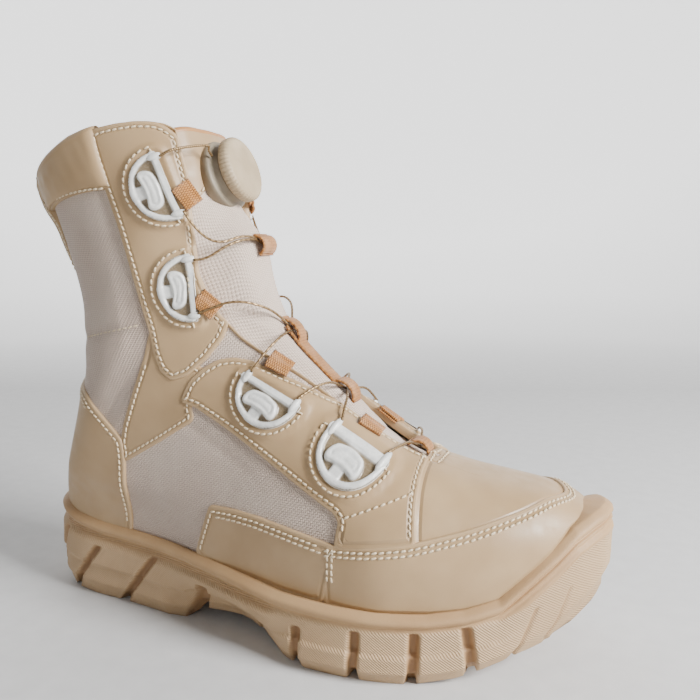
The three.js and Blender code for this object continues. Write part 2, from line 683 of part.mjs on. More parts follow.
const COUNTER = sideOn([
  [-30, 119], [26, 118], [42, 111.5], [52, 103], [60, 95.5], [64.5, 91], [65, 81], [64, 62], [61.5, 43],
  ...beadLine(61, 0), [-30, 47.5],
]);
const RAND = sideOn([
  [181, 33.7], [183.5, 45], [186, 57.8], [199, 58.9], [216, 60.8], [224, 62.4], [242, 66.6], [258, 71.2], [268, 74],
  [276, 77], [310, 82], [310, 62.5], ...beadLine(299, 184),
]);
const PANEL = sideOn([
  [108.5, 40.5], [113, 52], [118, 64.5], [131, 64.8], [144.5, 64], [163, 61.3], [184.8, 58],
  [182.5, 45.5], [179.8, 34], ...beadLine(178, 109),
]);
const VAMP_STAY = sideOn([
  [100, 114], [103.5, 122], [110, 127.5], [117, 132.5], [124, 141], [140, 155], [214, 110], [214.5, 93], [216, 83], [218, 72.6], [220, 62.9],
  [216, 61.9], [199, 60], [187, 59.2], [187.2, 69], [184, 72], [171.6, 78.2], [153, 88], [129.5, 100.3], [107.5, 111.5],
]);
const SHAFT_STAY = sideOn([
  [57, 250], [57, 236.6], [64, 212.6], [68, 199.3], [74.8, 174.6], [80.8, 152.6], [84.9, 136], [88.5, 127.8], [94, 123.6],
  [102, 126], [112, 134.5], [118, 143], [122, 152], [140, 170], [130, 250],
]);
const STRAP = sideOn([
  [79, 134], [66.5, 99], [67, 90], [71, 80.5], [88, 93.5], [105, 106], [99, 112], [101.5, 123], [94, 121.4], [87, 125.4],
  [83.6, 135], [82.5, 140],
]);
const COLLAR_BAND = sideOn([
  [-30, 204], [18, 205.5], [32, 209], [48, 212.2], [62.8, 213.2], [56.2, 236.6], [56, 250], [-30, 250],
]);

function cut(from, outline, low, high) {
  return largest(from.intersect(across(outline, low, high)).subtract(beadRoom).subtract(upperRoom));
}

add('heel_counter', geometryOf(cut(skin, COUNTER, -90, 90)), LEATHER, 0.6);
add('toe_rand', geometryOf(cut(skin, RAND, -90, 90)), LEATHER, 0.6);
SIDES.forEach(([side, low, high]) => {
  add(`panel_${side}`, geometryOf(cut(skin, PANEL, low, high)), LEATHER, 0.6);
  add(`vamp_stay_${side}`, geometryOf(cut(skin, VAMP_STAY, low, high)), LEATHER, 0.6);
  add(`shaft_stay_${side}`, geometryOf(cut(skin, SHAFT_STAY, low, high)), LEATHER, 0.6);
  add(`strap_${side}`, geometryOf(cut(skin, STRAP, low, high)), LEATHER, 0.6);
});

// Collar: two bands and a tab down the back, the tab's outline seen from behind
const TAB = [[-24, 250], [-23.5, 222], [-22, 200], [-19, 183], [-13.5, 173], [-6, 168], [0, 167], [6, 168], [13.5, 173], [19, 183], [22, 200], [23.5, 222], [24, 250]];
function alongX(outline, from, to) {
  const shape = new THREE.Shape(outline.map(([y, z]) => new THREE.Vector2(y, z)));
  const g = new THREE.ExtrudeGeometry(shape, { depth: to - from, bevelEnabled: false });
  g.rotateX(Math.PI / 2);
  g.rotateZ(Math.PI / 2);
  g.translate(from, 0, 0);
  return solid(g);
}
const tabSpace = TAB.map(([y, z]) => [y * 1.03, z - 0.6]);
SIDES.forEach(([side, low, high]) => {
  const band = cut(collarSkin, COLLAR_BAND, low - 4 * Math.sign(low), high);
  add(`collar_${side}`, geometryOf(band.subtract(alongX(tabSpace, -40, 60))), LEATHER, 0.6);
});
add('back_tab', geometryOf(collarSkin.intersect(alongX(TAB, -40, 60))), LEATHER, 0.6);

// Place on the upper at x and z on one side of the foot
function onSide(x, z, side) {
  let best = [1e9, 8, 0.25];
  for (let t = 5; t < LAST; t += 0.5) {
    for (let k = 1; k < 12; k += 1) {
      const u = 0.5 + (side * 0.5 * k) / 12;
      const p = surface(t, u);
      const d = Math.hypot(p.x - x, p.z - z);
      if (d < best[0]) best = [d, t, u];
    }
  }
  let [, t, u] = best;
  for (let k = 0; k < 12; k += 1) {
    const p = surface(t, u);
    const a = surface(t + 0.02, u).sub(p).multiplyScalar(50);
    const b = surface(t, u + 0.004).sub(p).multiplyScalar(250);
    const det = a.x * b.z - b.x * a.z;
    const dx = x - p.x;
    const dz = z - p.z;
    t += Math.min(Math.max((dx * b.z - b.x * dz) / det, -0.6), 0.6);
    u += Math.min(Math.max((a.x * dz - a.z * dx) / det, -0.06), 0.06);
  }
  return [t, u];
}

// Lace guides: ends of the flat side seen from the side of the boot, top end first
const GUIDES = [
  { top: [86.5, 232.5], low: [98, 200.5] },
  { top: [100.5, 184.5], low: [106, 151.5] },
  { top: [130.5, 127.5], low: [158.5, 112.4] },
  { top: [173, 105.8], low: [202.5, 88.6] },
];

// D shape, its flat side along x and its bow towards +y
function dShape() {
  const points = [];
  const half_ = GUIDE_LONG / 2;
  for (let k = 0; k <= 4; k += 1) points.push([-half_ + (GUIDE_LONG * k) / 4, 0]);
  for (let k = 1; k < 12; k += 1) {
    const a = (Math.PI * k) / 12;
    points.push([half_ * Math.cos(a) ** 1, GUIDE_DEEP * Math.sin(a) ** 0.8]);
  }
  return points;
}

function guideFrame(guide, side) {
  const [x0, z0] = guide.top;
  const [x1, z1] = guide.low;
  const long = Math.hypot(x1 - x0, z1 - z0);
  const along = [(x1 - x0) / long, (z1 - z0) / long];
  const back = [along[1], -along[0]];
  const mid = [(x0 + x1) / 2, (z0 + z1) / 2];
  return (a, b, lift) => {
    const [t, u] = onSide(mid[0] + along[0] * a + back[0] * b, mid[1] + along[1] * a + back[1] * b, side);
    return lifted(t, u, lift);
  };
}

function makeGuide(guide, side) {
  const place = guideFrame(guide, side);
  const low = GAP + SKIN;
  const ring = (scale, lift) => dShape().map(([a, b]) => place(a * scale, 6 + (b - 6) * scale, lift));
  const rings = [ring(1, low), ring(1, low + GUIDE_THICK * 0.6), ring(0.86, low + GUIDE_THICK)];
  const foot = place(0, 6, low);
  const head = place(0, 6, low + GUIDE_THICK);
  const list = [];
  const n = rings[0].length;
  for (let k = 0; k < n; k += 1) {
    const m = (k + 1) % n;
    list.push(foot, rings[0][m], rings[0][k]);
    quad(list, rings[0][k], rings[0][m], rings[1][m], rings[1][k]);
    quad(list, rings[1][k], rings[1][m], rings[2][m], rings[2][k]);
    list.push(head, rings[2][k], rings[2][m]);
  }
  if (side < 0) list.reverse();
  return geometryOf(solid(fromTriangles(list)).subtract(underSkin));
}
GUIDES.forEach((guide, k) => {
  add(`guide_outer_${k + 1}`, makeGuide(guide, -1), PLASTIC, 0.35);
  add(`guide_inner_${k + 1}`, makeGuide(guide, 1), PLASTIC, 0.35);
});

// Point over the tongue: t along it, v across it, lift above it
function overTongue(t, v, lift) {
  return tonguePoint(t, v, -lift);
}

function tongueAt(x) {
  let low = 5.6;
  let high = LAST;
  for (let k = 0; k < 30; k += 1) {
    const mid = (low + high) / 2;
    if (tonguePoint(mid, 0, 0).x > x) low = mid;
    else high = mid;
  }
  return low;
}

// Webbing loops on the middle of the tongue that the lace runs through, by x on the ridge
const LOOPS = [
  { x: 124.5, long: 9, wide: 13 },
  { x: 141, long: 14, wide: 7 },
  { x: 170, long: 13, wide: 9 },
  { x: 207.5, long: 10, wide: 8 },
];
const LOOP_RISE = 3.8;

function strip(points, wide, thick) {
  const outside = [];
  const inside = [];
  points.forEach(({ p, n, side }) => {
    outside.push([-1, 1].map((s) => p.clone().addScaledVector(side, (s * wide) / 2).addScaledVector(n, thick)));
    inside.push([-1, 1].map((s) => p.clone().addScaledVector(side, (s * wide) / 2)));
  });
  const g = fromTriangles(sheet(outside, inside, () => true));
  if (solid(g).volume() > 0) return g;
  const index = Array.from(g.getIndex().array).reverse();
  g.setIndex(index);
  return g;
}

function makeLoop({ x, long, wide }) {
  const t = tongueAt(x);
  const a = lifted(t, 0.5, -0.6);
  const along = lifted(Math.min(t + 0.1, LAST), 0.5, -0.6).sub(a).normalize();
  const side = new THREE.Vector3(0, 1, 0);
  const n = along.clone().cross(side).normalize();
  if (n.x * 0.5 + n.z < 0) n.negate();
  const points = [];
  for (let k = 0; k <= 8; k += 1) {
    const f = k / 4 - 1;
    const p = a.clone().addScaledVector(along, (f * long) / 2);
    const rise = 0.55 + LOOP_RISE * (1 - f * f) ** 0.6;
    points.push({ p: p.addScaledVector(n, rise), n, side });
  }
  return strip(points, wide, WEB_THICK);
}
LOOPS.forEach((loop, k) => add(`loop_${k + 1}`, makeLoop(loop), WEBBING, 0.9));

// Webbing tabs that reach from the leather over the throat edge, by place seen from the side
const TABS = [[103, 216], [118, 172], [144, 131], [188, 103]];
const TAB_WIDE = 12;

function makeTab([x, z], side) {
  const [t] = onSide(x * LONG, z * HIGH, side);
  const along = surface(t + 0.1, 0.5).distanceTo(surface(t - 0.1, 0.5)) / 0.2;
  const outside = [];
  const inside = [];
  for (let i = -2; i <= 2; i += 1) {
    const at = Math.min(t + (i * TAB_WIDE) / 4 / along, LAST);
    const edge = throatEdges(at)[side < 0 ? 0 : 1];
    const unit = surface(at, edge).distanceTo(surface(at, edge - side * 0.02)) / 0.02;
    const row_ = [-2.6, -1, 1, 4.5].map((d) => edge - (side * d) / unit);
    outside.push(row_.map((u) => lifted(at, u, OVER_SKIN + GAP + WEB_THICK)));
    inside.push(row_.map((u) => lifted(at, u, OVER_SKIN)));
  }
  const list = sheet(outside, inside, () => true);
  if (side > 0) list.reverse();
  return geometryOf(solid(fromTriangles(list)).subtract(underSkin));
}
TABS.forEach((place, k) => {
  add(`tab_outer_${k + 1}`, makeTab(place, -1), WEBBING, 0.9);
  add(`tab_inner_${k + 1}`, makeTab(place, 1), WEBBING, 0.9);
});

// Dial on the tongue's patch: a base that follows the tongue and a knob on the base
const DIAL_X = 103.6;
const DIAL_AT = tongueAt(DIAL_X * LONG);
const dialFoot = overTongue(DIAL_AT, 0, 0);
const dialUp = overTongue(Math.min(DIAL_AT + 0.2, LAST), 0, 0).sub(overTongue(DIAL_AT - 0.2, 0, 0)).normalize();
const dialSide = new THREE.Vector3(0, 1, 0);
const dialOut = dialSide.clone().cross(dialUp).normalize();
if (dialOut.x < 0) dialOut.negate();
const DIAL_TURN = new THREE.Matrix4().makeBasis(dialSide, dialOut, dialUp.clone()).setPosition(dialFoot);
function turned(profile, steps) {
  const g = new THREE.LatheGeometry(profile.map(([r, h]) => new THREE.Vector2(r, h)), steps);
  g.deleteAttribute('uv');
  g.deleteAttribute('normal');
  g.applyMatrix4(DIAL_TURN);
  const made = weld(g);
  if (solid(made).volume() < 0) made.setIndex(Array.from(made.getIndex().array).reverse());
  return made;
}
const tongueRoom = () => {
  const outside = [];
  const inside = [];
  tongueRows().forEach((t) => {
    const a = [];
    const b = [];
    for (let j = 0; j <= TONGUE_COLS; j += 1) {
      const v = (j / TONGUE_COLS) * 2 - 1;
      a.push(tonguePoint(t, v, -GAP));
      b.push(tonguePoint(t, v, TONGUE_THICK + 6));
    }
    outside.push(a);
    inside.push(b);
  });
  return solid(fromTriangles(sheet(outside, inside, () => true)));
};
const FLANGE = DIAL_RADIUS + 1.2;
const base = solid(turned([[0, -6], [FLANGE, -6], [FLANGE, 1.4], [FLANGE - 0.6, 2.2], [DIAL_RADIUS - 1, 2.6],
  [DIAL_RADIUS - 1, DIAL_BASE], [0, DIAL_BASE]], 32));
add('dial_base', geometryOf(largest(base.subtract(tongueRoom()))), PLASTIC, 0.5);
const KNOB_FOOT = DIAL_BASE + GAP;
const KNOB_TOP = KNOB_FOOT + DIAL_KNOB;
add('dial_knob', turned([[0, KNOB_FOOT], [DIAL_RADIUS - 1.4, KNOB_FOOT], [DIAL_RADIUS, KNOB_FOOT + 1.2],
  [DIAL_RADIUS, KNOB_TOP - 1.8], [DIAL_RADIUS - 0.9, KNOB_TOP - 0.4], [DIAL_RADIUS - 2, KNOB_TOP],
  [DIAL_RADIUS - 4, KNOB_TOP - 0.3], [0, KNOB_TOP - 0.3]], 32), LEATHER, 0.6);

// Steel lace. Each crossing in a loop between two pairs of guides is one solid.
const LACE_LIFT = OVER_SKIN + WEB_THICK + GAP + LACE_RADIUS + 0.4;
const UNDER_LOOP = 0.9;
const LACE_STEPS = 10;
const EXIT = 0.4;
const EXIT_AIR = 0.9;

function cord(points) {
  const shape = new THREE.Shape();
  shape.absarc(0, 0, LACE_RADIUS, 0, Math.PI * 2);
  const path = new THREE.CatmullRomCurve3(points, false, 'centripetal');
  const g = new THREE.ExtrudeGeometry(shape, { steps: LACE_STEPS, extrudePath: path, curveSegments: 4, bevelEnabled: false });
  return solid(g);
}

// Exit of the lace in front of the flat side of a guide, as t and u; end is -1 at the top, 1 below
function laceExit(guide, end, side) {
  const [x0, z0] = guide.top;
  const [x1, z1] = guide.low;
  const long = Math.hypot(x1 - x0, z1 - z0);
  const along = [(x1 - x0) / long, (z1 - z0) / long];
  const a = end * EXIT * GUIDE_LONG;
  const x = (x0 + x1) / 2 + along[0] * a - along[1] * EXIT_AIR;
  const z = (z0 + z1) / 2 + along[1] * a + along[0] * EXIT_AIR;
  return onSide(x * LONG, z * HIGH, side);
}

function laceRun([t0, u0], [t1, u1]) {
  const points = [];
  for (let k = 0; k <= 6; k += 1) {
    const f = k / 6;
    const t = t0 + (t1 - t0) * f;
    const u = u0 + (u1 - u0) * f;
    const down = ease(0.45, 1, f);
    points.push(lifted(t, u, LACE_LIFT * (1 - down) + UNDER_LOOP * down));
  }
  return points;
}

function laceThrough(from, loop, to) {
  const middle = [tongueAt(loop.x * LONG), 0.5];
  return cord([...laceRun(from, middle), ...laceRun(to, middle).reverse().slice(1)]);
}
for (let k = 0; k < 3; k += 1) {
  const [upper_, lower] = [GUIDES[k], GUIDES[k + 1]];
  const one = laceThrough(laceExit(upper_, 1, -1), LOOPS[k], laceExit(lower, -1, 1));
  const two = laceThrough(laceExit(upper_, 1, 1), LOOPS[k], laceExit(lower, -1, -1));
  add(`lace_crossing_${k + 1}`, geometryOf(one.add(two)), STEEL, 0.4, 0.6);
}
add('lace_bar', geometryOf(laceThrough(laceExit(GUIDES[3], 1, -1), LOOPS[3], laceExit(GUIDES[3], 1, 1))), STEEL, 0.4, 0.6);
SIDES.forEach(([side, low]) => {
  const hand = Math.sign(low);
  const at = (across_, out, up) => dialFoot.clone().addScaledVector(dialSide, hand * across_)
    .addScaledVector(dialOut, out).addScaledVector(dialUp, up);
  const [t, u] = laceExit(GUIDES[0], -1, hand);
  const edge = throatEdges(t)[hand < 0 ? 0 : 1];
  const points = [at(16.5, 4.5, 9), at(20, 5.5, 12), lifted(t, edge * 0.65 + u * 0.35, LACE_LIFT + 2.5), lifted(t, u, LACE_LIFT)];
  add(`lace_dial_${side}`, geometryOf(cord(points)), STEEL, 0.4, 0.6);
});

// The origin sits on the ground under the middle of the whole boot
const box = new THREE.Box3().setFromObject(boot);
boot.position.set(-(box.min.x + box.max.x) / 2, -(box.min.y + box.max.y) / 2, -box.min.z);
boot.updateMatrixWorld(true);

export default boot;
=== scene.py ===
# Right combat boot: leather and cloth upper, dial lace, lugged sole
import math

import bmesh
import bpy
import numpy as np
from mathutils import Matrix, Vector
from mathutils.bvhtree import BVHTree
from mathutils.geometry import delaunay_2d_cdt
from mathutils.kdtree import KDTree


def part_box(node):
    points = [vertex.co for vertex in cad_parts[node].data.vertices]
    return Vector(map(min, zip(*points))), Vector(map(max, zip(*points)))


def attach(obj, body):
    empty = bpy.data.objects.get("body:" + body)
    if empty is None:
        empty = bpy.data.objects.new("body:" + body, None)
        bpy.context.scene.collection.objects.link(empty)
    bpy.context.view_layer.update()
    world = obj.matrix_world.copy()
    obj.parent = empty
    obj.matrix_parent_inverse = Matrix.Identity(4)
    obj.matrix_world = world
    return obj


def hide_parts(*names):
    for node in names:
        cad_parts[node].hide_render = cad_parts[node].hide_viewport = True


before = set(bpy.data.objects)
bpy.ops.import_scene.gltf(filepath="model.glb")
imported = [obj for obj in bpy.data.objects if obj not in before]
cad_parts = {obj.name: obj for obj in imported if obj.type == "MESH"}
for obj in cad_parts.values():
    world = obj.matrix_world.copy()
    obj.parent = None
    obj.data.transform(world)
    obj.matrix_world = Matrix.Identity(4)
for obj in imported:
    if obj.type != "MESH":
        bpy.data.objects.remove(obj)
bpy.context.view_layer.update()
MM = 0.001

# Sizes of the boot in millimetres, in its own frame: x from the heel's back, y from the middle
# of the shaft, z from the ground, outer side towards -y
LENGTH = 300
HEIGHT = 250
BALL = 110
WALL = 2.4
COLLAR_PAD = 3.4
GAP = 0.35
SKIN = 1.4
THROAT_START = 5.55
TONGUE_TOP = 247
TONGUE_SIDE = 8

sole_low, sole_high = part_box("outsole")
SOLE_MIDDLE_Y = -4.72
SHIFT = np.array([
    sole_low[0] / MM,
    (sole_low[1] + sole_high[1]) / 2 / MM - SOLE_MIDDLE_Y,
    0.0,
])

# Sections of the last, fanned from the toe tip (0) over the instep to the collar (22)
COLUMNS = ["front_x", "front_z", "back_x", "back_z", "outer", "inner", "mid_y", "wide", "top", "low", "foot"]
SECTIONS = [
    [0.970, 0.224, 0.970, 0.120, 0.000, 0.000, 0.109, 0.40, 2.6, 2.2, 0.95],
    [0.962, 0.256, 0.962, 0.118, 0.135, 0.135, 0.108, 0.40, 2.6, 2.2, 0.95],
    [0.937, 0.282, 0.937, 0.114, 0.218, 0.245, 0.100, 0.38, 2.6, 2.2, 0.95],
    [0.895, 0.308, 0.895, 0.108, 0.305, 0.300, 0.077, 0.36, 2.5, 2.2, 0.95],
    [0.837, 0.322, 0.837, 0.100, 0.384, 0.357, 0.050, 0.34, 2.4, 2.2, 0.95],
    [0.763, 0.340, 0.763, 0.094, 0.440, 0.391, 0.018, 0.32, 2.3, 2.2, 0.94],
    [0.680, 0.376, 0.673, 0.090, 0.486, 0.396, 0.000, 0.30, 2.2, 2.2, 0.94],
    [0.590, 0.448, 0.573, 0.088, 0.473, 0.364, 0.000, 0.28, 2.1, 2.2, 0.93],
    [0.515, 0.526, 0.463, 0.090, 0.432, 0.332, 0.000, 0.30, 2.0, 2.2, 0.92],
    [0.470, 0.584, 0.347, 0.096, 0.391, 0.318, 0.000, 0.34, 2.0, 2.2, 0.90],
    [0.445, 0.640, 0.233, 0.104, 0.368, 0.327, 0.000, 0.40, 2.0, 2.2, 0.84],
    [0.429, 0.700, 0.127, 0.112, 0.359, 0.341, 0.000, 0.44, 2.0, 2.2, 0.78],
    [0.422, 0.736, 0.070, 0.116, 0.359, 0.350, 0.000, 0.46, 2.0, 2.2, 0.62],
    [0.414, 0.764, 0.035, 0.120, 0.360, 0.352, 0.000, 0.47, 2.0, 2.2, 0.43],
    [0.408, 0.784, 0.022, 0.126, 0.360, 0.354, 0.000, 0.47, 2.0, 2.2, 0.25],
    [0.403, 0.800, 0.017, 0.144, 0.360, 0.355, 0.000, 0.47, 2.0, 2.2, 0.00],
    [0.397, 0.824, 0.033, 0.228, 0.360, 0.357, 0.000, 0.47, 2.0, 2.2, 0.00],
    [0.388, 0.854, 0.062, 0.352, 0.355, 0.358, 0.000, 0.48, 2.0, 2.2, 0.00],
    [0.379, 0.886, 0.082, 0.480, 0.352, 0.360, 0.000, 0.49, 2.0, 2.2, 0.00],
    [0.370, 0.918, 0.081, 0.604, 0.355, 0.366, 0.000, 0.50, 2.1, 2.2, 0.00],
    [0.359, 0.952, 0.057, 0.728, 0.370, 0.380, 0.000, 0.50, 2.1, 2.2, 0.00],
    [0.348, 0.988, 0.023, 0.844, 0.385, 0.392, 0.000, 0.50, 2.1, 2.2, 0.00],
    [0.337, 1.024, 0.000, 0.928, 0.390, 0.400, 0.000, 0.50, 2.1, 2.2, 0.00],
]
SCALES = np.array([LENGTH, HEIGHT, LENGTH, HEIGHT, BALL, BALL, BALL, 1, 1, 1, 1])
TABLE = np.array(SECTIONS) * SCALES
LAST = len(TABLE) - 1

# Half width of the throat at each section, and height of the collar line against x
THROAT = [9, 9, 9, 9, 9, 9.5, 11, 14.5, 18, 21.5, 24.5, 26.5] + [27.5] * 8 + [28, 28, 28]
COLLAR = [
    (-20, 221), (0, 221.5), (10, 224), (26, 231), (42, 238), (56, 242),
    (70, 244.6), (82, 245.6), (90, 244.5), (95, 241), (99, 235), (104, 224),
]

# Sole seen from above, and its top edge, underside and waist against x
SOLE_OUTER = [
    (0, 0), (2, -12), (8, -22), (18, -29.5), (35, -34), (60, -36.5), (88, -41), (112, -47.5), (135, -54),
    (158, -59), (180, -61), (200, -60.5), (218, -57), (235, -51), (250, -44.5), (264, -35.5), (277, -24),
    (288, -11), (296, 2), (299, 13),
]
SOLE_INNER = [
    (0, 0), (2, 12), (8, 22), (18, 29.5), (35, 34), (55, 35.5), (80, 35), (105, 35), (130, 37), (155, 41),
    (180, 46), (205, 50), (228, 51.5), (245, 51.5), (262, 49.5), (275, 45.5), (286, 39), (294, 30),
    (298, 21), (299, 13),
]
BEAD_TOP = [
    (0, 50), (10, 48.5), (25, 44.5), (45, 42), (87, 40), (112, 38.5), (134, 36.5), (158, 33.5), (185, 32.5),
    (205, 32), (228, 32.5), (243, 34.5), (257, 38.5), (267, 47.5), (278, 57), (286, 65), (293, 69), (299, 71),
]
UNDERSIDE = [
    (0, 6), (5, 3), (14, 0), (222, 0), (240, 3), (252, 7), (262, 11), (272, 14.5), (282, 20), (291, 27),
    (299, 36),
]
WAIST = [(85, 0), (105, 7), (125, 13), (142, 11), (160, 4), (172, 0)]


def between(table, x):
    return np.interp(x, [p[0] for p in table], [p[1] for p in table])


def ease(a, b, x):
    f = np.clip((np.asarray(x, float) - a) / (b - a), 0, 1)
    return f * f * (3 - 2 * f)


def bump(x, width):
    return np.exp(-((np.asarray(x, float) / width) ** 2))


def smooth_between(a, b, c, d, f):
    """Place f of the way from b to c on the smooth curve through four points."""
    return 0.5 * (2 * b + (c - a) * f + (2 * a - 5 * b + 4 * c - d) * f * f
                  + (3 * b - a - 3 * c + d) * f ** 3)


def run_along(points):
    """Distance from the first point to each point of a line."""
    return np.concatenate([[0], np.cumsum(np.linalg.norm(np.diff(points, axis=0), axis=1))])


def spread(points, at, run):
    """A line's points read at the distances at, where run is the distance of each point."""
    return np.stack([np.interp(at, run, points[:, k]) for k in range(points.shape[1])], 1)


def by_count(points, count):
    """As many points as asked for, spread evenly over a line's own points."""
    return spread(points, np.linspace(0, 1, count), np.linspace(0, 1, len(points)))


def point_tree(points):
    tree = KDTree(len(points))
    for k, p in enumerate(points):
        tree.insert(p, k)
    tree.balance()
    return tree


def flat_tree(points):
    return point_tree([(x, y, 0) for x, y in points])


def flat_distances(tree, points):
    return np.array([tree.find((x, y, 0))[2] for x, y in points])


def section_row(k):
    if k < 0:
        mirrored = TABLE[1].copy()
        mirrored[4:6] *= -1
        return mirrored
    if k > LAST:
        return 2 * TABLE[LAST] - TABLE[LAST - 1]
    return TABLE[k]


def station(t):
    at = min(max(t, 0), LAST)
    k = min(int(at), LAST - 1)
    f = at - k
    values = smooth_between(*(section_row(k + i) for i in (-1, 0, 1, 2)), f)
    s = dict(zip(COLUMNS, values))
    s["outer"] = max(s["outer"], 0)
    s["inner"] = max(s["inner"], 0)
    s["foot"] = min(max(s["foot"], 0), 0.99)
    return s


HALF_POINTS = 61


def half_section(t, side, share):
    """Points of one side of the section, share 0 at the ridge and 1 at the bottom edge."""
    s = station(t)
    width = s["outer"] if side < 0 else s["inner"]
    height = math.hypot(s["front_x"] - s["back_x"], s["front_z"] - s["back_z"])
    a = np.pi / 2 * (1 - np.linspace(0, 1, HALF_POINTS))
    top_w = np.cos(a) ** (2 / s["top"])
    top_h = s["wide"] + (1 - s["wide"]) * np.sin(a) ** (2 / s["top"])
    end = math.acos(s["foot"] ** (s["low"] / 2))
    b = end * np.linspace(0, 1, HALF_POINTS)[1:]
    low_w = np.cos(b) ** (2 / s["low"])
    low_h = s["wide"] * (1 - np.sin(b) ** (2 / s["low"]) / math.sin(end) ** (2 / s["low"]))
    across = np.concatenate([top_w, low_w])
    up = np.concatenate([top_h, low_h])
    steps = np.hypot(np.diff(across) * width, np.diff(up) * height)
    run = np.concatenate([[0], np.cumsum(steps)])
    at, high = (np.interp(share * run[-1], run, line) for line in (across, up))
    x = s["back_x"] + (s["front_x"] - s["back_x"]) * high
    y = s["mid_y"] + side * width * at
    z = s["back_z"] + (s["front_z"] - s["back_z"]) * high
    return np.stack([x, y, z], 1), run[-1]


# The outer surface as a fine grid over t and u. Below 0 t runs on round the toe to the other
# side, and outside 0 to 1 u runs on round the heel.
T_STEP = 0.05
U_COUNT = 320
U_STEP = 1 / U_COUNT
T_LOW = -8
HEEL_T = 9
T_AXIS = np.arange(T_LOW, LAST + T_STEP / 2, T_STEP)
U_AXIS = np.arange(-0.3, 1.3 + U_STEP / 2, U_STEP)
GIRTH = {}


def grid_row(t):
    u = np.linspace(0, 1, U_COUNT + 1)
    ridge = U_COUNT // 2
    outer, run_outer = half_section(t, -1, 1 - 2 * u[:ridge + 1])
    inner, run_inner = half_section(t, 1, 2 * u[ridge:] - 1)
    GIRTH[round(t, 3)] = (run_outer, run_inner)
    return np.concatenate([outer, inner[1:]])


def build_grid():
    rows = []
    column = np.round(U_AXIS / U_STEP).astype(int)
    for t in T_AXIS:
        ring = grid_row(abs(t))
        if t < 0:
            ring = ring[::-1]
        index = column % U_COUNT if abs(t) >= HEEL_T else np.clip(column, 0, U_COUNT)
        index = np.where((column >= 0) & (column <= U_COUNT), column, index)
        rows.append(ring[index])
    return np.array(rows)


GRID = build_grid()

# How far the upper's lower edge stays inside the sole's edge, how far up that reaches, the most
# that it moves, and the stretch of x where it fades out towards the toe
TUCK = 5.8
TUCK_REACH = 30
TUCK_MOST = 9
TUCK_FADE = (262, 240)


def curve_through(points, count):
    """Even points on a smooth curve through a few points."""
    p = np.asarray(points, float)
    p = np.concatenate([2 * p[:1] - p[1:2], p, 2 * p[-1:] - p[-2:-1]])
    f = np.linspace(0, 1, 12, endpoint=False)[:, None]
    parts = [smooth_between(*p[k - 1:k + 3], f) for k in range(1, len(p) - 2)]
    line = np.concatenate(parts + [p[-2:-1]])
    run = run_along(line)
    return spread(line, np.linspace(0, run[-1], count), run)


def tuck_in():
    """Lean the lower edge of the upper inwards, so that the sole's bead stands out all round."""
    outer = curve_through(SOLE_OUTER, 140)
    inner = curve_through(SOLE_INNER, 140)
    line = np.concatenate([outer, inner[-2:0:-1]])
    step = np.roll(line, -1, axis=0) - np.roll(line, 1, axis=0)
    inward = np.stack([-step[:, 1], step[:, 0]], 1) / np.linalg.norm(step, axis=1)[:, None]
    flat = GRID.reshape(-1, 3)
    over = flat[:, 2] - between(BEAD_TOP, flat[:, 0])
    low = np.nonzero((over < TUCK_REACH) & (flat[:, 0] < TUCK_FADE[0]))[0]
    for part in np.array_split(low, 40):
        q = flat[part, :2]
        near = np.argmin(((q[:, None, :] - line[None]) ** 2).sum(axis=2), axis=1)
        inside = ((q - line[near]) * inward[near]).sum(axis=1)
        push = np.clip(TUCK - inside, 0, TUCK_MOST)
        push *= ease(TUCK_REACH, 2, over[part]) * ease(*TUCK_FADE, q[:, 0])
        flat[part, :2] += inward[near] * push[:, None]


tuck_in()


def blurred(n, rounds):
    """Directions on a grid, each averaged with its neighbours, as often as rounds says."""
    for _ in range(rounds):
        n[1:-1] = (n[:-2] + n[1:-1] * 2 + n[2:]) / 4
        n[:, 1:-1] = (n[:, :-2] + n[:, 1:-1] * 2 + n[:, 2:]) / 4
    return n


def unit(v):
    return v / np.maximum(np.linalg.norm(v, axis=-1, keepdims=True), 1e-9)


def grid_normals(points):
    along = np.gradient(points, axis=0)
    across = np.gradient(points, axis=1)
    flat = np.linalg.norm(across, axis=2) < 1e-6
    across[flat] = (0, 0, 1)
    return unit(blurred(unit(np.cross(across, along)), 6))


NORMALS = grid_normals(GRID)


def look_up(grid, t, u):
    i = np.clip((np.asarray(t, float) - T_LOW) / T_STEP, 0, len(T_AXIS) - 1.001)
    j = np.clip((np.asarray(u, float) - U_AXIS[0]) / U_STEP, 0, len(U_AXIS) - 1.001)
    i0 = i.astype(int)
    j0 = j.astype(int)
    fi = (i - i0)[..., None]
    fj = (j - j0)[..., None]
    low = grid[i0, j0] * (1 - fj) + grid[i0, j0 + 1] * fj
    high = grid[i0 + 1, j0] * (1 - fj) + grid[i0 + 1, j0 + 1] * fj
    return low * (1 - fi) + high * fi


def surface(t, u):
    return look_up(GRID, t, u)


def normal(t, u):
    return unit(look_up(NORMALS, t, u))


def lifted(t, u, lift):
    return surface(t, u) + normal(t, u) * np.asarray(lift, float)[..., None]


def throat_edge(t, side):
    """Where the throat opening's edge lies on one side, as u."""
    t = np.asarray(t, float)
    half = np.interp(t, np.arange(LAST + 1), THROAT)
    u = np.full(t.shape, 0.5)
    reach = np.linspace(0.5, 0.5 + side * 0.45, 181)
    for k in np.ndindex(t.shape):
        row = surface(np.full(181, t[k]), reach)
        across = np.abs(row[:, 1] - surface(t[k], 0.5)[1])
        widest = int(np.argmax(across)) + 1
        u[k] = np.interp(half[k], across[:widest], reach[:widest])
    return u


EDGE_T = np.arange(0, LAST + 0.01, 0.1)
EDGE_OUTER = throat_edge(EDGE_T, -1)
EDGE_INNER = throat_edge(EDGE_T, 1)


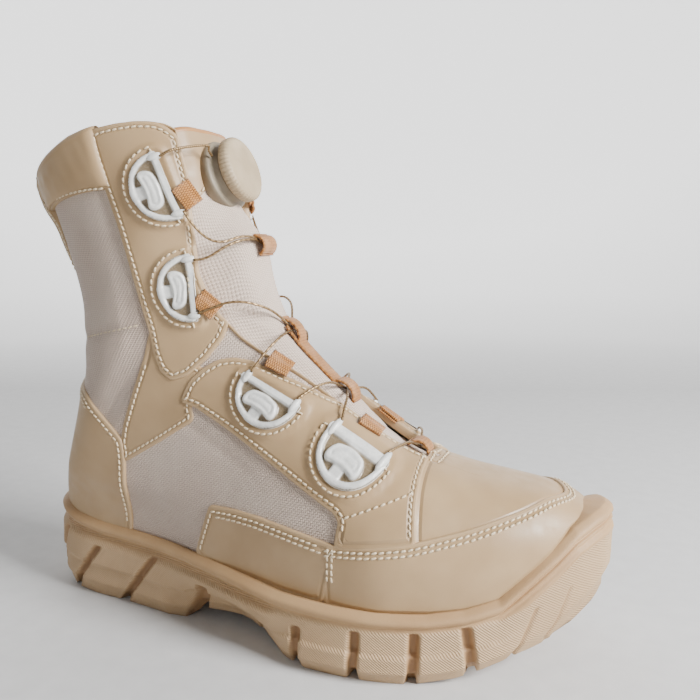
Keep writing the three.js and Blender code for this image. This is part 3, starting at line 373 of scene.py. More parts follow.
def edge_u(t, side):
    return np.interp(t, EDGE_T, EDGE_OUTER if side < 0 else EDGE_INNER)


def t_at_height(u, line, start):
    """t above start where the surface meets a line of height against x, at each u."""
    t = np.arange(start, LAST + 0.001, 0.05)
    found = np.empty(len(u))
    for k, one in enumerate(u):
        row = surface(t, np.full(t.shape, one))
        found[k] = np.interp(0, row[:, 2] - between(line, row[:, 0]), t)
    return found


def collar_t(u):
    return t_at_height(u, COLLAR, 18)


# Finding t and u for a place seen from the side

def side_tree(side):
    rows = np.arange(int(-T_LOW / T_STEP), len(T_AXIS), 3)
    low = np.searchsorted(U_AXIS, 0.0 if side < 0 else 0.5)
    cols = np.arange(low, low + U_COUNT // 2, 3)
    points = GRID[np.ix_(rows, cols)].reshape(-1, 3)
    t = np.repeat(T_AXIS[rows], len(cols))
    u = np.tile(U_AXIS[cols], len(rows))
    return point_tree(points * (1, 0, 1)), t, u


TREES = {-1: side_tree(-1), 1: side_tree(1)}


def on_side(places, side):
    """t and u of places given as x and z, on one side of the boot."""
    places = np.atleast_2d(np.asarray(places, float))
    tree, all_t, all_u = TREES[side]
    found = [tree.find((x, 0, z))[1] for x, z in places]
    t = all_t[found].copy()
    u = all_u[found].copy()
    low, high = (0.0, 0.4995) if side < 0 else (0.5005, 1.0)
    for _ in range(10):
        p = surface(t, u)
        a = (surface(t + 0.03, u) - p) / 0.03
        b = (surface(t, u + 0.004) - p) / 0.004
        det = a[:, 0] * b[:, 2] - b[:, 0] * a[:, 2]
        det = np.where(np.abs(det) < 1e-6, 1e-6, det)
        dx = places[:, 0] - p[:, 0]
        dz = places[:, 1] - p[:, 2]
        t = t + np.clip((dx * b[:, 2] - b[:, 0] * dz) / det, -0.4, 0.4)
        u = u + np.clip((a[:, 0] * dz - a[:, 2] * dx) / det, -0.03, 0.03)
        t = np.clip(t, 0, LAST)
        u = np.clip(u, low, high)
    return t, u


# Plane that a piece is meshed in: b runs along t, a runs along u in millimetres
T_SCALE = 18.0
GIRTH_T = np.array(sorted(GIRTH))
GIRTH_SUM = np.array([sum(GIRTH[t]) for t in GIRTH_T])


def to_plane(t, u):
    return np.stack([(u - 0.5) * np.interp(np.abs(t), GIRTH_T, GIRTH_SUM), t * T_SCALE], -1)


def from_plane(points):
    t = points[:, 1] / T_SCALE
    u = 0.5 + points[:, 0] / np.interp(np.abs(t), GIRTH_T, GIRTH_SUM)
    return t, u


def resample(points, step, closed=True):
    points = np.asarray(points, float)
    if closed:
        points = np.concatenate([points, points[:1]])
    run = run_along(points)
    count = max(int(round(run[-1] / step)), 3)
    at = np.linspace(0, run[-1], count + 1)
    return spread(points, at[:-1] if closed else at, run)


def rounded(points, cut, closed=True):
    """The same line with its corners cut twice, over about the distance cut."""
    points = resample(points, cut, closed)
    for _ in range(2):
        if closed:
            after = np.roll(points, -1, axis=0)
            points = np.stack([points * 0.75 + after * 0.25, points * 0.25 + after * 0.75], 1)
            points = points.reshape(-1, points.shape[-1])
        else:
            a = points[:-1] * 0.75 + points[1:] * 0.25
            b = points[:-1] * 0.25 + points[1:] * 0.75
            inside = np.stack([a, b], 1).reshape(-1, points.shape[1])
            points = np.concatenate([points[:1], inside, points[-1:]])
    return points


def inside_of(points, loop):
    a = loop
    b = np.roll(loop, -1, axis=0)
    y = points[:, 1][:, None]
    crosses = (a[:, 1] > y) != (b[:, 1] > y)
    slope = (b[:, 0] - a[:, 0]) / np.where(b[:, 1] == a[:, 1], 1e-9, b[:, 1] - a[:, 1])
    x = a[:, 0] + (y - a[:, 1]) * slope
    return np.sum(crosses & (points[:, 0][:, None] < x), axis=1) % 2 == 1


# Making Blender objects

def new_object(name, points, faces, material, smooth=True, maps=None, values=None):
    """A mesh from points in the boot's millimetres. maps is a 2-D place per point for weave."""
    mesh = bpy.data.meshes.new(name)
    mesh.from_pydata(((np.asarray(points) + SHIFT) * MM).tolist(), [], [list(map(int, f)) for f in faces])
    obj = bpy.data.objects.new(name, mesh)
    bpy.context.scene.collection.objects.link(obj)
    mesh.polygons.foreach_set("use_smooth", [smooth] * len(mesh.polygons))
    if maps is not None:
        corner = np.empty(len(mesh.loops), int)
        mesh.loops.foreach_get("vertex_index", corner)
        layer = mesh.uv_layers.new(name="weave")
        layer.data.foreach_set("uv", (np.asarray(maps)[corner] * 0.01).ravel())
    for key, value in (values or {}).items():
        attribute = mesh.attributes.new(key, "FLOAT", "POINT")
        attribute.data.foreach_set("value", np.asarray(value, float))
    mesh.materials.append(material)
    mesh.validate()
    mesh.update()
    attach(obj, "root")
    return obj


def far_from_edge(points):
    """The edge value of a piece that has no stitched edge."""
    return {"edge": np.full(len(points), 3.0)}


def grid_faces(rows, cols, close_cols=False, flip=False, start=0):
    faces = []
    for i in range(rows - 1):
        for j in range(cols if close_cols else cols - 1):
            a = start + i * cols + j
            b = start + i * cols + (j + 1) % cols
            faces.append((a, a + cols, b + cols, b) if flip else (a, b, b + cols, a + cols))
    return faces


def caps(rows, cols, start=0):
    """The two flat ends of a closed band of rows."""
    last = start + (rows - 1) * cols
    return [tuple(range(start, start + cols))[::-1], tuple(range(last, last + cols))]


def tangents(line, closed):
    if closed:
        step = np.roll(line, -1, axis=0) - np.roll(line, 1, axis=0)
    else:
        step = np.gradient(line, axis=0)
    return unit(step)


def tube(line, across, up, half_wide, half_high, sides):
    """Points and faces of a cord of oval section along a line, with flat closed ends."""
    line = np.asarray(line, float)
    angle = np.linspace(0, 2 * np.pi, sides, endpoint=False)
    wide = np.broadcast_to(np.asarray(half_wide, float), len(line))[:, None, None]
    high = np.broadcast_to(np.asarray(half_high, float), len(line))[:, None, None]
    ring = np.cos(angle)[None, :, None] * across[:, None, :] * wide
    ring = ring + np.sin(angle)[None, :, None] * up[:, None, :] * high
    points = (line[:, None, :] + ring).reshape(-1, 3)
    faces = grid_faces(len(line), sides, close_cols=True)
    return points, faces + caps(len(line), sides)


def framed(line, hint):
    """Directions across and up along a line, from a hint that stays near up."""
    t = tangents(line, False)
    hint = np.broadcast_to(np.asarray(hint, float), t.shape)
    across = unit(np.cross(t, hint))
    up = unit(np.cross(across, t))
    return across, up


def joined(parts):
    points = []
    faces = []
    start = 0
    for p, f in parts:
        points.append(np.asarray(p, float))
        faces.extend([tuple(int(i) + start for i in face) for face in f])
        start += len(p)
    return np.concatenate(points), faces


# Stitches are kept in one list and joined into one mesh at the end
STITCH_LONG = 2.5
STITCH_STEP = 3.1
STITCH_WIDE = 0.52
STITCH_TURN = 0.16
STITCH_SIDES = 6
# One stitch from end to end: place along it, thickness and rise as shares of its size
STITCH_RINGS = [
    (-0.5, 0.35, -0.2), (-0.42, 0.8, 0.1), (-0.2, 1.0, 0.32),
    (0.2, 1.0, 0.32), (0.42, 0.8, 0.1), (0.5, 0.35, -0.2),
]
stitch_places = []


def stitch_along(line, up, closed=False, wide=STITCH_WIDE):
    """Places of stitches along a line, each turned a little off its direction."""
    line = np.asarray(line, float)
    both = np.concatenate([line, np.broadcast_to(up, line.shape)], 1)
    if closed:
        both = np.concatenate([both, both[:1]])
    run = run_along(both[:, :3])
    count = int(run[-1] / STITCH_STEP)
    if count < 1:
        return
    at = (np.arange(count) + 0.5) * run[-1] / count
    place = spread(both, at, run)
    along = unit(spread(both[:, :3], at + 0.4, run) - spread(both[:, :3], at - 0.4, run))
    n = unit(place[:, 3:])
    along = unit(along + np.cross(n, along) * STITCH_TURN)
    for p, a, v in zip(place[:, :3], along, n):
        stitch_places.append((p, a, v, wide))


def make_stitches(name, material):
    angle = np.linspace(0, 2 * np.pi, STITCH_SIDES, endpoint=False)
    rows = len(STITCH_RINGS)
    points = []
    faces = []
    for p, a, v, wide in stitch_places:
        side = np.cross(v, a)
        start = len(points)
        for along, thick, rise in STITCH_RINGS:
            middle = p + a * along * STITCH_LONG + v * rise * wide
            for c in angle:
                points.append(middle + (side * math.cos(c) + v * math.sin(c)) * wide * thick)
        faces += grid_faces(rows, STITCH_SIDES, close_cols=True, start=start)
        faces += caps(rows, STITCH_SIDES, start)
    return new_object(name, points, faces, material)


# Panels: leather pieces laid on the upper, cut by an outline and given a rounded edge

def soft_edge(distance, reach):
    f = np.clip(distance / reach, 0, 1)
    return np.sqrt(1 - (1 - f) ** 2)


UNDULATION = 0.12
EDGE_LOW = 0.25
EDGE_SINK = 0.6
EDGE_ROUND = 0.8


def undulate(p):
    """Slow hand-made waves that keep broad leather from looking machined."""
    x, y, z = p[:, 0], p[:, 1], p[:, 2]
    slow = np.sin(x / 17 + z / 23 + 1.3) * np.sin(z / 19 - y / 15 + 0.4)
    return (slow + 0.6 * np.sin(x / 9.5 - z / 12.5 + y / 14)) * UNDULATION


def filled(loop, inner):
    """Points and faces of a flat area inside a loop, meshed with the inner points."""
    count = len(loop)
    verts = [Vector(p) for p in np.concatenate([loop, inner])]
    edges = [(k, (k + 1) % count) for k in range(count)]
    out = delaunay_2d_cdt(verts, edges, [], 1, 1e-6)
    return np.array([(v.x, v.y) for v in out[0]]), [tuple(f) for f in out[2]]


def edge_rings(edge, n, outward, lift, low, r):
    """Rings that round a piece's edge over and take it down into the upper."""
    rings = [edge + n * (lift - r + r * math.cos(a)) + outward * r * math.sin(a)
             for a in np.linspace(0, math.pi / 2, 5)]
    return rings + [edge + n * (low - EDGE_SINK) + outward * r]


def tidy(obj, distance=0.00001, turn=True):
    """Weld points that coincide and, with turn, make the faces look outwards and smooth."""
    weld = bmesh.new()
    weld.from_mesh(obj.data)
    bmesh.ops.remove_doubles(weld, verts=weld.verts, dist=distance)
    if turn:
        bmesh.ops.recalc_face_normals(weld, faces=weld.faces)
    weld.to_mesh(obj.data)
    weld.free()
    if turn:
        obj.data.polygons.foreach_set("use_smooth", [True] * len(obj.data.polygons))


def panel(name, loop_t, loop_u, material, thick=SKIN, low=EDGE_LOW, spacing=2.1, extra=None):
    """A piece on the upper inside a loop of t and u. Returns the object and its edge line."""
    loop = to_plane(loop_t, loop_u)
    area = np.sum(loop[:, 0] * np.roll(loop[:, 1], -1) - np.roll(loop[:, 0], -1) * loop[:, 1])
    if area < 0:
        loop = loop[::-1]
        loop_t = loop_t[::-1]
        loop_u = loop_u[::-1]
    low_corner = loop.min(axis=0)
    high_corner = loop.max(axis=0)
    a, b = np.meshgrid(
        np.arange(low_corner[0], high_corner[0], spacing),
        np.arange(low_corner[1], high_corner[1], spacing),
    )
    a[1::2] += spacing / 2
    inner = np.stack([a.ravel(), b.ravel()], 1)
    inner = inner[inside_of(inner, loop)]
    inner = inner[flat_distances(flat_tree(loop), inner) > spacing * 0.55]
    count = len(loop)
    flat, faces = filled(loop, inner)
    t, u = from_plane(flat)
    edge_line = surface(loop_t, loop_u)
    edge_tree = point_tree(edge_line)
    base = surface(t, u)
    distance = np.array([edge_tree.find(p)[2] for p in base])
    lift = low + thick + undulate(base) * np.clip(distance / 6, 0, 1)
    if extra is not None:
        lift = lift + extra(base, distance)
    top = base + normal(t, u) * lift[:, None]
    n = normal(loop_t, loop_u)
    outward = unit(np.cross(tangents(edge_line, True), n))
    edge_lift = low + thick + (extra(edge_line, np.zeros(count)) if extra is not None else 0)
    edge_lift = np.broadcast_to(edge_lift, count)[:, None]
    rings = edge_rings(edge_line, n, outward, edge_lift, low, min(EDGE_ROUND, thick))
    ring_points = np.concatenate(rings)
    start = len(top)
    ring_faces = grid_faces(len(rings), count, close_cols=True, flip=True, start=start)
    points = np.concatenate([top, ring_points])
    edge_value = np.concatenate([distance, np.zeros(len(ring_points))])
    weave = np.concatenate([flat, np.tile(loop, (len(rings), 1))])
    obj = new_object(name, points, faces + ring_faces, material, maps=weave, values={"edge": edge_value})
    tidy(obj)
    return obj, {"p": edge_line + n * edge_lift, "n": n, "out": outward}


def stitch_edge(line, inset, keep=None):
    """A row of stitches inside a panel's edge, where keep allows it."""
    p = line["p"] - line["out"] * inset
    allowed = np.full(len(p), True) if keep is None else keep(line["p"])
    if allowed.all():
        stitch_along(p, line["n"], closed=True)
        return
    first = int(np.argmax(~allowed))
    order = np.roll(np.arange(len(p)), -first)
    run = []
    for k in list(order) + [order[0]]:
        if allowed[k]:
            run.append(k)
            continue
        if len(run) > 3:
            stitch_along(p[run], line["n"][run])
        run = []


def side_panel(name, outline, side, material, cut, **options):
    loop = resample(rounded(outline, cut), 1.3)
    t, u = on_side(loop, side)
    edge = edge_u(t, side)
    beyond = (t > THROAT_START) & ((u > edge) if side < 0 else (u < edge))
    return panel(name, t, np.where(beyond, edge, u), material, **options)


# Materials

def linear(red, green, blue):
    """A colour as the eye sees it, from 0 to 255, in Blender's linear numbers."""
    values = []
    for c in (red, green, blue):
        c /= 255
        values.append(c / 12.92 if c <= 0.04045 else ((c + 0.055) / 1.055) ** 2.4)
    return (*values, 1.0)


class Nodes:
    """Short way to write a material's nodes."""

    def __init__(self, name):
        self.material = bpy.data.materials.new(name)
        self.material.use_nodes = True
        self.tree = self.material.node_tree
        self.shader = self.tree.nodes["Principled BSDF"]

    def add(self, kind, inputs=None, **settings):
        node = self.tree.nodes.new("ShaderNode" + kind)
        for key, value in settings.items():
            setattr(node, key, value)
        for key, value in (inputs or {}).items():
            self.put(node.inputs[key], value)
        return node

    def put(self, socket, value):
        if hasattr(value, "is_output"):
            self.tree.links.new(value, socket)
        else:
            socket.default_value = value

    def math(self, operation, a, b=0.0, c=0.0):
        return self.add("Math", {0: a, 1: b, 2: c}, operation=operation).outputs[0]

    def noise(self, scale, detail=3.0, rough=0.5, where=None):
        inputs = {"Scale": scale, "Detail": detail, "Roughness": rough}
        if where is not None:
            inputs["Vector"] = where
        return self.add("TexNoise", inputs).outputs["Fac"]

    def mix(self, factor, a, b, blend="MIX"):
        node = self.add("Mix", {0: factor, 6: a, 7: b}, data_type="RGBA", blend_type=blend)
        return node.outputs[2]

    def ramp(self, factor, low, high, to_low=0.0, to_high=1.0):
        node = self.add("MapRange", {0: factor, 1: low, 2: high, 3: to_low, 4: to_high})
        return node.outputs[0]

    def value(self, name):
        return self.add("Attribute", attribute_name=name).outputs["Fac"]

    def product(self, a, b):
        return self.math("MULTIPLY", a, b)

    def ripple(self, turns):
        """Bumps that repeat once for each whole number of turns."""
        return self.math("ABSOLUTE", self.math("SINE", self.product(turns, math.pi)))

    def weave_place(self):
        """The two weave coordinates, in tenths of a metre."""
        place = self.add("UVMap", uv_map="weave").outputs[0]
        return self.add("SeparateXYZ", {0: place}).outputs

    def object_place(self):
        return self.add("TexCoord").outputs["Object"]

    def bump(self, height, strength, distance, normal=None):
        inputs = {"Height": height, "Strength": strength, "Distance": distance}
        if normal is not None:
            inputs["Normal"] = normal
        return self.add("Bump", inputs).outputs[0]

    def finish(self, **sockets):
        names = {"color": "Base Color", "roughness": "Roughness", "normal": "Normal", "metallic": "Metallic"}
        for key, value in sockets.items():
            self.put(self.shader.inputs[names.get(key, key)], value)
        return self.material


LEATHER_TAN = linear(180, 151, 113)
LEATHER_DARK = linear(164, 135, 98)
LEATHER_PALE = linear(194, 166, 129)
CLOTH_TONE = linear(204, 184, 168)
CLOTH_SHADE = linear(146, 122, 106)
RUBBER_TONE = linear(192, 158, 116)
RUBBER_SHADE = linear(174, 139, 98)
THREAD = linear(240, 224, 194)
WEB_TONE = linear(190, 127, 54)
WEB_SHADE = linear(124, 73, 27)
LINING_TONE = linear(218, 210, 196)


# Distance of the stitched seam from a leather piece's edge, where the leather is drawn in and its colour
# carries painted shade
SEAM_INSET = 2.0


def leather(name, tone=LEATHER_TAN, dark=LEATHER_DARK, pale=LEATHER_PALE, rough=0.42):
    m = Nodes(name)
    where = m.object_place()
    slow = m.noise(22, 4, 0.55, where)
    fine = m.noise(900, 3, 0.6, where)
    pores = m.add("TexVoronoi", {"Vector": where, "Scale": 1100.0}, feature="DISTANCE_TO_EDGE").outputs[0]
    edge = m.value("edge")
    color = m.mix(m.ramp(slow, 0.3, 0.7), dark, tone)
    color = m.mix(m.ramp(m.noise(45, 3, 0.5, where), 0.45, 0.85, 0, 0.3), color, pale)
    rim = m.ramp(edge, 0.0, 0.5, 0.4, 0.0)
    color = m.mix(rim, color, pale)
    before_seam = m.ramp(edge, SEAM_INSET - 1.1, SEAM_INSET, 0, 1)
    seam = m.product(before_seam, m.ramp(edge, SEAM_INSET, SEAM_INSET + 1.5, 1, 0))
    # Painted shade: the colour turns darker along the drawn-in groove of the seam
    color = m.mix(m.product(seam, 0.35), color, dark)
    roughness = m.ramp(m.noise(160, 2, 0.5, where), 0.3, 0.7, rough - 0.06, rough + 0.1)
    height = m.math("SUBTRACT", m.product(pores, 0.5), m.product(fine, -0.25))
    grain = m.bump(height, 0.22, 0.0003)
    pulled = m.bump(m.product(seam, -1.0), 0.75, 0.0008, grain)
    return m.finish(color=color, roughness=roughness, normal=pulled)


# Millimetres in one unit of the weave coordinates
WEAVE_UNIT = 100.0


def cloth(name, tone=CLOTH_TONE, dark=CLOTH_SHADE, thread=1.0, depth=0.00035):
    """Plain weave, with threads as far apart as thread says in millimetres."""
    m = Nodes(name)
    across, along = m.weave_place()[:2]
    u = m.product(across, WEAVE_UNIT / thread)
    v = m.product(along, WEAVE_UNIT / thread)
    pair = m.math("ADD", m.math("FLOOR", u), m.math("FLOOR", v))
    over = m.math("GREATER_THAN", m.math("ABSOLUTE", m.math("MODULO", pair, 2.0)), 0.5)
    height = m.add("Mix", {0: over, 2: m.ripple(u), 3: m.ripple(v)}, data_type="FLOAT").outputs[0]
    where = m.object_place()
    slow = m.noise(30, 3, 0.5, where)
    fuzz = m.noise(1400, 2, 0.6, where)
    # Painted shade: the weave's low places between the threads are coloured darker
    color = m.mix(m.ramp(height, 0.05, 0.8), dark, tone)
    color = m.mix(m.ramp(slow, 0.35, 0.7, 0.0, 0.35), color, linear(221, 207, 192))
    color = m.mix(m.product(over, 0.16), color, linear(196, 174, 160))
    height = m.math("ADD", height, m.product(fuzz, 0.35))
    m.shader.inputs["Sheen Weight"].default_value = 0.25
    m.shader.inputs["Sheen Roughness"].default_value = 0.45
    roughness = m.ramp(fuzz, 0.3, 0.7, 0.62, 0.82)
    return m.finish(color=color, roughness=roughness, normal=m.bump(height, 0.8, depth))


# Spacing of the fine lines on the sole's strip and on its lugs, in metres
STRIP_LINE = 0.0011
LUG_LINE = 0.0012
# Colour of the painted shade in the sole's grooves and in the troughs of its fine lines
RUBBER_GROOVE_SHADE = linear(140, 104, 70)


def rubber(name):
    m = Nodes(name)
    where = m.object_place()
    slow = m.noise(28, 4, 0.5, where)
    strip = m.value("strip")
    lug = m.value("lug")
    deep = m.value("deep")
    split = m.add("SeparateXYZ", {0: where})
    line = m.math("SINE", m.product(split.outputs[2], 2 * math.pi / STRIP_LINE))
    slant = m.math("ADD", m.product(split.outputs[0], 0.8), split.outputs[2])
    cross = m.math("SINE", m.product(slant, 2 * math.pi / LUG_LINE))
    fine = m.noise(1500, 2, 0.6, where)
    color = m.mix(m.ramp(slow, 0.35, 0.7), RUBBER_SHADE, RUBBER_TONE)
    # Painted highlight: the raised lug faces are coloured lighter than the recessed strip and grooves
    color = m.mix(m.product(lug, 0.35), color, linear(206, 182, 148))
    # Painted shade: grooves coloured darker by their depth
    color = m.mix(m.product(deep, 0.75), color, RUBBER_GROOVE_SHADE)
    texture = m.math("ADD", m.product(line, strip), m.product(cross, m.product(lug, 0.5)))
    # Painted shade: troughs of the fine lines on the strip and lugs coloured darker
    color = m.mix(m.ramp(texture, -0.5, 0.5, 0.28, 0.0), color, RUBBER_GROOVE_SHADE)
    height = m.math("ADD", m.product(texture, 0.5), m.product(fine, 0.3))
    roughness = m.ramp(fine, 0.3, 0.7, 0.5, 0.68)
    return m.finish(color=color, roughness=roughness, normal=m.bump(height, 0.9, 0.0005))


# Spacing of the webbing's ribs and of its threads
WEB_RIB = 1.5
WEB_THREAD = 1.15


def webbing(name):
    m = Nodes(name)
    across, along = m.weave_place()[:2]
    u = m.product(across, WEAVE_UNIT / WEB_RIB)
    v = m.product(along, WEAVE_UNIT / WEB_THREAD)
    shifted = m.math("ADD", v, m.product(m.math("MODULO", m.math("FLOOR", u), 2.0), 0.5))
    height = m.product(m.ripple(shifted), m.ramp(m.ripple(u), 0.0, 0.5, 0.35, 1.0))
    where = m.object_place()
    # Painted shade: the valleys between ribs and threads are coloured darker
    color = m.mix(m.ramp(height, 0.1, 0.75), WEB_SHADE, WEB_TONE)
    color = m.mix(m.ramp(m.noise(140, 3, 0.5, where), 0.4, 0.75, 0.0, 0.4), color, linear(228, 178, 134))
    m.shader.inputs["Sheen Weight"].default_value = 0.2
    roughness = m.ramp(height, 0, 1, 0.85, 0.6)
    return m.finish(color=color, roughness=roughness, normal=m.bump(height, 0.9, 0.0005))


def thread_material(name):
    m = Nodes(name)
    where = m.object_place()
    twist = m.noise(1800, 2, 0.6, where)
    color = m.mix(m.ramp(twist, 0.3, 0.7), linear(196, 174, 140), THREAD)
    roughness = m.ramp(twist, 0.3, 0.7, 0.55, 0.7)
    return m.finish(color=color, roughness=roughness, normal=m.bump(twist, 0.5, 0.0002))


def clear_plastic(name):
    m = Nodes(name)
    where = m.object_place()
    cloud = m.noise(260, 3, 0.5, where)
    color = m.mix(m.ramp(cloud, 0.35, 0.7), linear(216, 216, 212), linear(238, 238, 234))
    # Slots painted dark tan: the leather's tone seen through the thin floor, with painted shade in the recess
    color = m.mix(m.ramp(m.value("slot"), 0.4, 0.9), color, linear(128, 112, 88))
    m.shader.inputs["Subsurface Weight"].default_value = 0.12
    m.shader.inputs["Subsurface Scale"].default_value = 0.0008
    m.shader.inputs["Subsurface Radius"].default_value = (1.0, 0.95, 0.85)
    m.shader.inputs["Coat Weight"].default_value = 0.35
    m.shader.inputs["Coat Roughness"].default_value = 0.12
    roughness = m.ramp(m.noise(700, 2, 0.5, where), 0.3, 0.7, 0.2, 0.34)
    return m.finish(color=color, roughness=roughness, normal=m.bump(cloud, 0.12, 0.0005))


def matte_plastic(name, tone, dark, rough=0.5):
    m = Nodes(name)
    where = m.object_place()
    fine = m.noise(1600, 3, 0.6, where)
    slow = m.noise(60, 3, 0.5, where)
    color = m.mix(m.ramp(slow, 0.35, 0.7), dark, tone)
    color = m.mix(m.ramp(m.value("edge"), 0.0, 1.0, 0.0, 0.5), color, dark)
    return m.finish(color=color, roughness=m.ramp(fine, 0.3, 0.7, rough - 0.06, rough + 0.1),
                    normal=m.bump(fine, 0.25, 0.0002))


def steel(name):
    m = Nodes(name)
    along, around = m.weave_place()[:2]
    slant = m.math("ADD", m.product(along, 160.0), m.product(around, 90.0))
    strand = m.math("ABSOLUTE", m.math("SINE", slant))
    # Painted shade: the wire is coloured darker between its twisted strands
    color = m.mix(m.ramp(strand, 0.1, 0.8), linear(104, 82, 56), linear(158, 132, 96))
    return m.finish(color=color, roughness=m.ramp(strand, 0, 1, 0.5, 0.3), metallic=0.75,
                    normal=m.bump(strand, 0.6, 0.0002))


leather_skin = leather("tan_leather")
leather_single = leather("tan_leather_vamp", rough=0.38)
leather_pad = leather("tan_leather_padded", rough=0.46)
cloth_skin = cloth("canvas")
cloth_tongue = cloth("canvas_tongue", linear(226, 206, 190), linear(168, 140, 120), 0.9, 0.00028)
lining_cloth = cloth("lining_cloth", LINING_TONE, linear(196, 190, 178), 0.8, 0.00012)
rubber_skin = rubber("sole_rubber")
web_skin = webbing("webbing_tan")
thread_skin = thread_material("cream_thread")
guide_skin = clear_plastic("clear_plastic")
knob_skin = matte_plastic("dial_plastic", linear(204, 186, 156), linear(168, 148, 118))
base_skin = matte_plastic("dial_base_plastic", linear(176, 164, 142), linear(120, 108, 90))
steel_skin = steel("coated_steel")


# Upper: cloth shell outside, lining inside. Above RISE its rows turn towards the collar line
SIDE_COLS = 74
LINING_COLS = 40
ROW_STEP = 0.11
UPPER_T = np.concatenate([
    np.arange(0, THROAT_START, ROW_STEP),
    [THROAT_START],
    np.arange(THROAT_START + ROW_STEP, LAST, ROW_STEP),
    [LAST],
])
RISE = 18


def wall_at(t, u):
    """Thickness of the upper, which grows under the padded collar."""
    edge = np.minimum(np.abs(u - edge_u(t, -1)), np.abs(u - edge_u(t, 1)))
    return WALL + COLLAR_PAD * ease(19, 20.5, t) * ease(0.06, 0.14, edge)


COLLAR_U = np.arange(0, 1.0001, 0.01)
COLLAR_TOP = collar_t(COLLAR_U)


def upper_place(row_t, share, side):
    """t and u of the upper's grid: share 0 at the bottom or back, 1 at the throat edge."""
    start = 0.0 if side < 0 else 1.0
    if row_t <= RISE:
        t = np.full(share.shape, row_t)
        return t, start + (edge_u(t, side) - start) * share
    guess = start + (edge_u(20.5, side) - start) * share
    top = np.interp(guess, COLLAR_U, COLLAR_TOP)
    t = RISE + (row_t - RISE) / (LAST - RISE) * (top - RISE)
    return t, start + (edge_u(t, side) - start) * share


def weave_map(t, u, p):
    """Where the weave lies: level on the foot, and round the leg on the shaft."""
    side = np.where(u < 0.5, -1, 1)
    round_ = (u - 0.5) * np.interp(np.abs(t), GIRTH_T, GIRTH_SUM)
    share = ease(12.5, 14.5, t)
    return np.stack([p[..., 0] * side * (1 - share) + round_ * share, p[..., 2]], -1)


def shell_mesh(name, depth, relief, t_rows, cols, toe_cols, material, flip):
    """Both sides and the toe of the upper, depth under its surface and raised by relief."""
    grids = []
    for side in (-1, 1):
        places = [upper_place(t, np.linspace(0, 1, cols), side) for t in t_rows]
        t, u = (np.array(values) for values in zip(*places))
        grids.append((t, u, (side < 0) == flip))
    front = t_rows[t_rows <= THROAT_START]
    t = np.repeat(front[:, None], toe_cols, 1)
    low = edge_u(front, -1)[:, None]
    high = edge_u(front, 1)[:, None]
    grids.append((t, low + (high - low) * np.linspace(0, 1, toe_cols), flip))
    parts = []
    maps = []
    for t, u, turned_over in grids:
        p = lifted(t, u, -depth(t, u))
        p = p + normal(t, u) * relief(p, t)[..., None]
        parts.append((p.reshape(-1, 3), grid_faces(*t.shape, flip=turned_over)))
        maps.append(weave_map(t, u, p).reshape(-1, 2))
    points, faces = joined(parts)
    obj = new_object(name, points, faces, material, maps=np.concatenate(maps))
    tidy(obj, 0.00002, turn=False)
    return obj


def quilt_height(x):
    """Height of the quilting seam across the shaft's cloth."""
    return 137 + (x - 20) * 0.22


def cloth_relief(p, t):
    """Padding of the cloth panels, seams of the shaft's quilting and creases at the ankle."""
    x, y, z = p[..., 0], p[..., 1], p[..., 2]
    shaft = ease(15.2, 16.5, t)
    slant = z - quilt_height(x)
    quilt = -0.9 * bump(slant, 1.6) + 0.5 * bump(np.abs(slant) - 7, 6)
    lift = shaft * (0.5 + quilt) * ease(4, 10, 66 - x - (z - 200) * 0.2)
    waves = 0.35 * np.sin(x / 11 + z / 16) * np.sin(z / 13 - x / 21 + 0.8)
    crease = -0.7 * bump((z - 98) + (x - 110) * 0.55, 2.2) * ease(60, 90, x) * (1 - ease(120, 150, x))
    return lift + waves * 0.5 + crease * (1 - shaft)


def no_depth(t, u):
    return np.zeros(t.shape)


def no_relief(p, t):
    return np.zeros(t.shape)


upper_cloth = shell_mesh("upper_cloth", no_depth, cloth_relief, UPPER_T, SIDE_COLS, 24, cloth_skin, True)
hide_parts("upper")
lining = shell_mesh("upper_lining", wall_at, no_relief, UPPER_T[::2], LINING_COLS, 12, lining_cloth, False)


def over_bead(p):
    """Height of places over the top of the sole's bead."""
    return p[:, 2] - between(BEAD_TOP, p[:, 0])


# Leather pieces, as outlines of x and z seen from the side
UNDER_BEAD = 2.0
PANEL = [
    (108.5, 40), (113, 52), (118, 64.5), (131, 64.8), (144.5, 64), (163, 61.3), (186, 57.6), (183.4, 45.5),
    (180.3, 33),
] + [(x, float(between(BEAD_TOP, x)) - UNDER_BEAD) for x in np.linspace(178, 110, 8)]
VAMP_STAY = [
    (100, 113.5), (103.5, 122.5), (110, 129), (117, 133.2), (124, 134), (131, 132.8), (143.7, 127.2),
    (154.4, 122.6), (163, 118), (170.2, 114), (179.7, 110), (190.5, 104), (199.3, 98.5), (207, 94),
    (214.2, 92), (216, 83), (218, 72.6), (220, 61), (199, 58.6),
    (186, 57.2), (187.2, 69), (184, 72), (171.6, 78.2), (153, 88),
    (129.5, 100.3), (107.5, 111.5),
]
SHAFT_STAY = [
    (57, 241), (57, 236.6), (64, 212.6), (68, 199.3), (74.8, 174.6), (80.8, 152.6), (84.9, 136),
    (88.5, 127.8), (94, 123.6), (102, 126.2), (111, 135), (117, 144), (119.5, 154), (118, 166),
    (114, 182.4), (108.8, 200.2),
    (102.8, 217.1), (97, 233), (94, 239.5), (90, 243.3), (85.5, 245.2), (78, 245.4), (70, 244.2),
    (62, 242.8),
]
STRAP = [
    (79, 133), (66.5, 99), (64.5, 90), (66, 80.5), (88, 93.5), (106, 105), (104, 111), (110, 128), (104, 132),
    (97, 131), (90, 140), (86, 150), (82, 146),
]
COUNTER_EDGE = [(26, 118), (42, 111.5), (52, 103), (60, 95.5), (64.8, 90.5), (65.4, 81), (64.4, 62), (62, 41)]
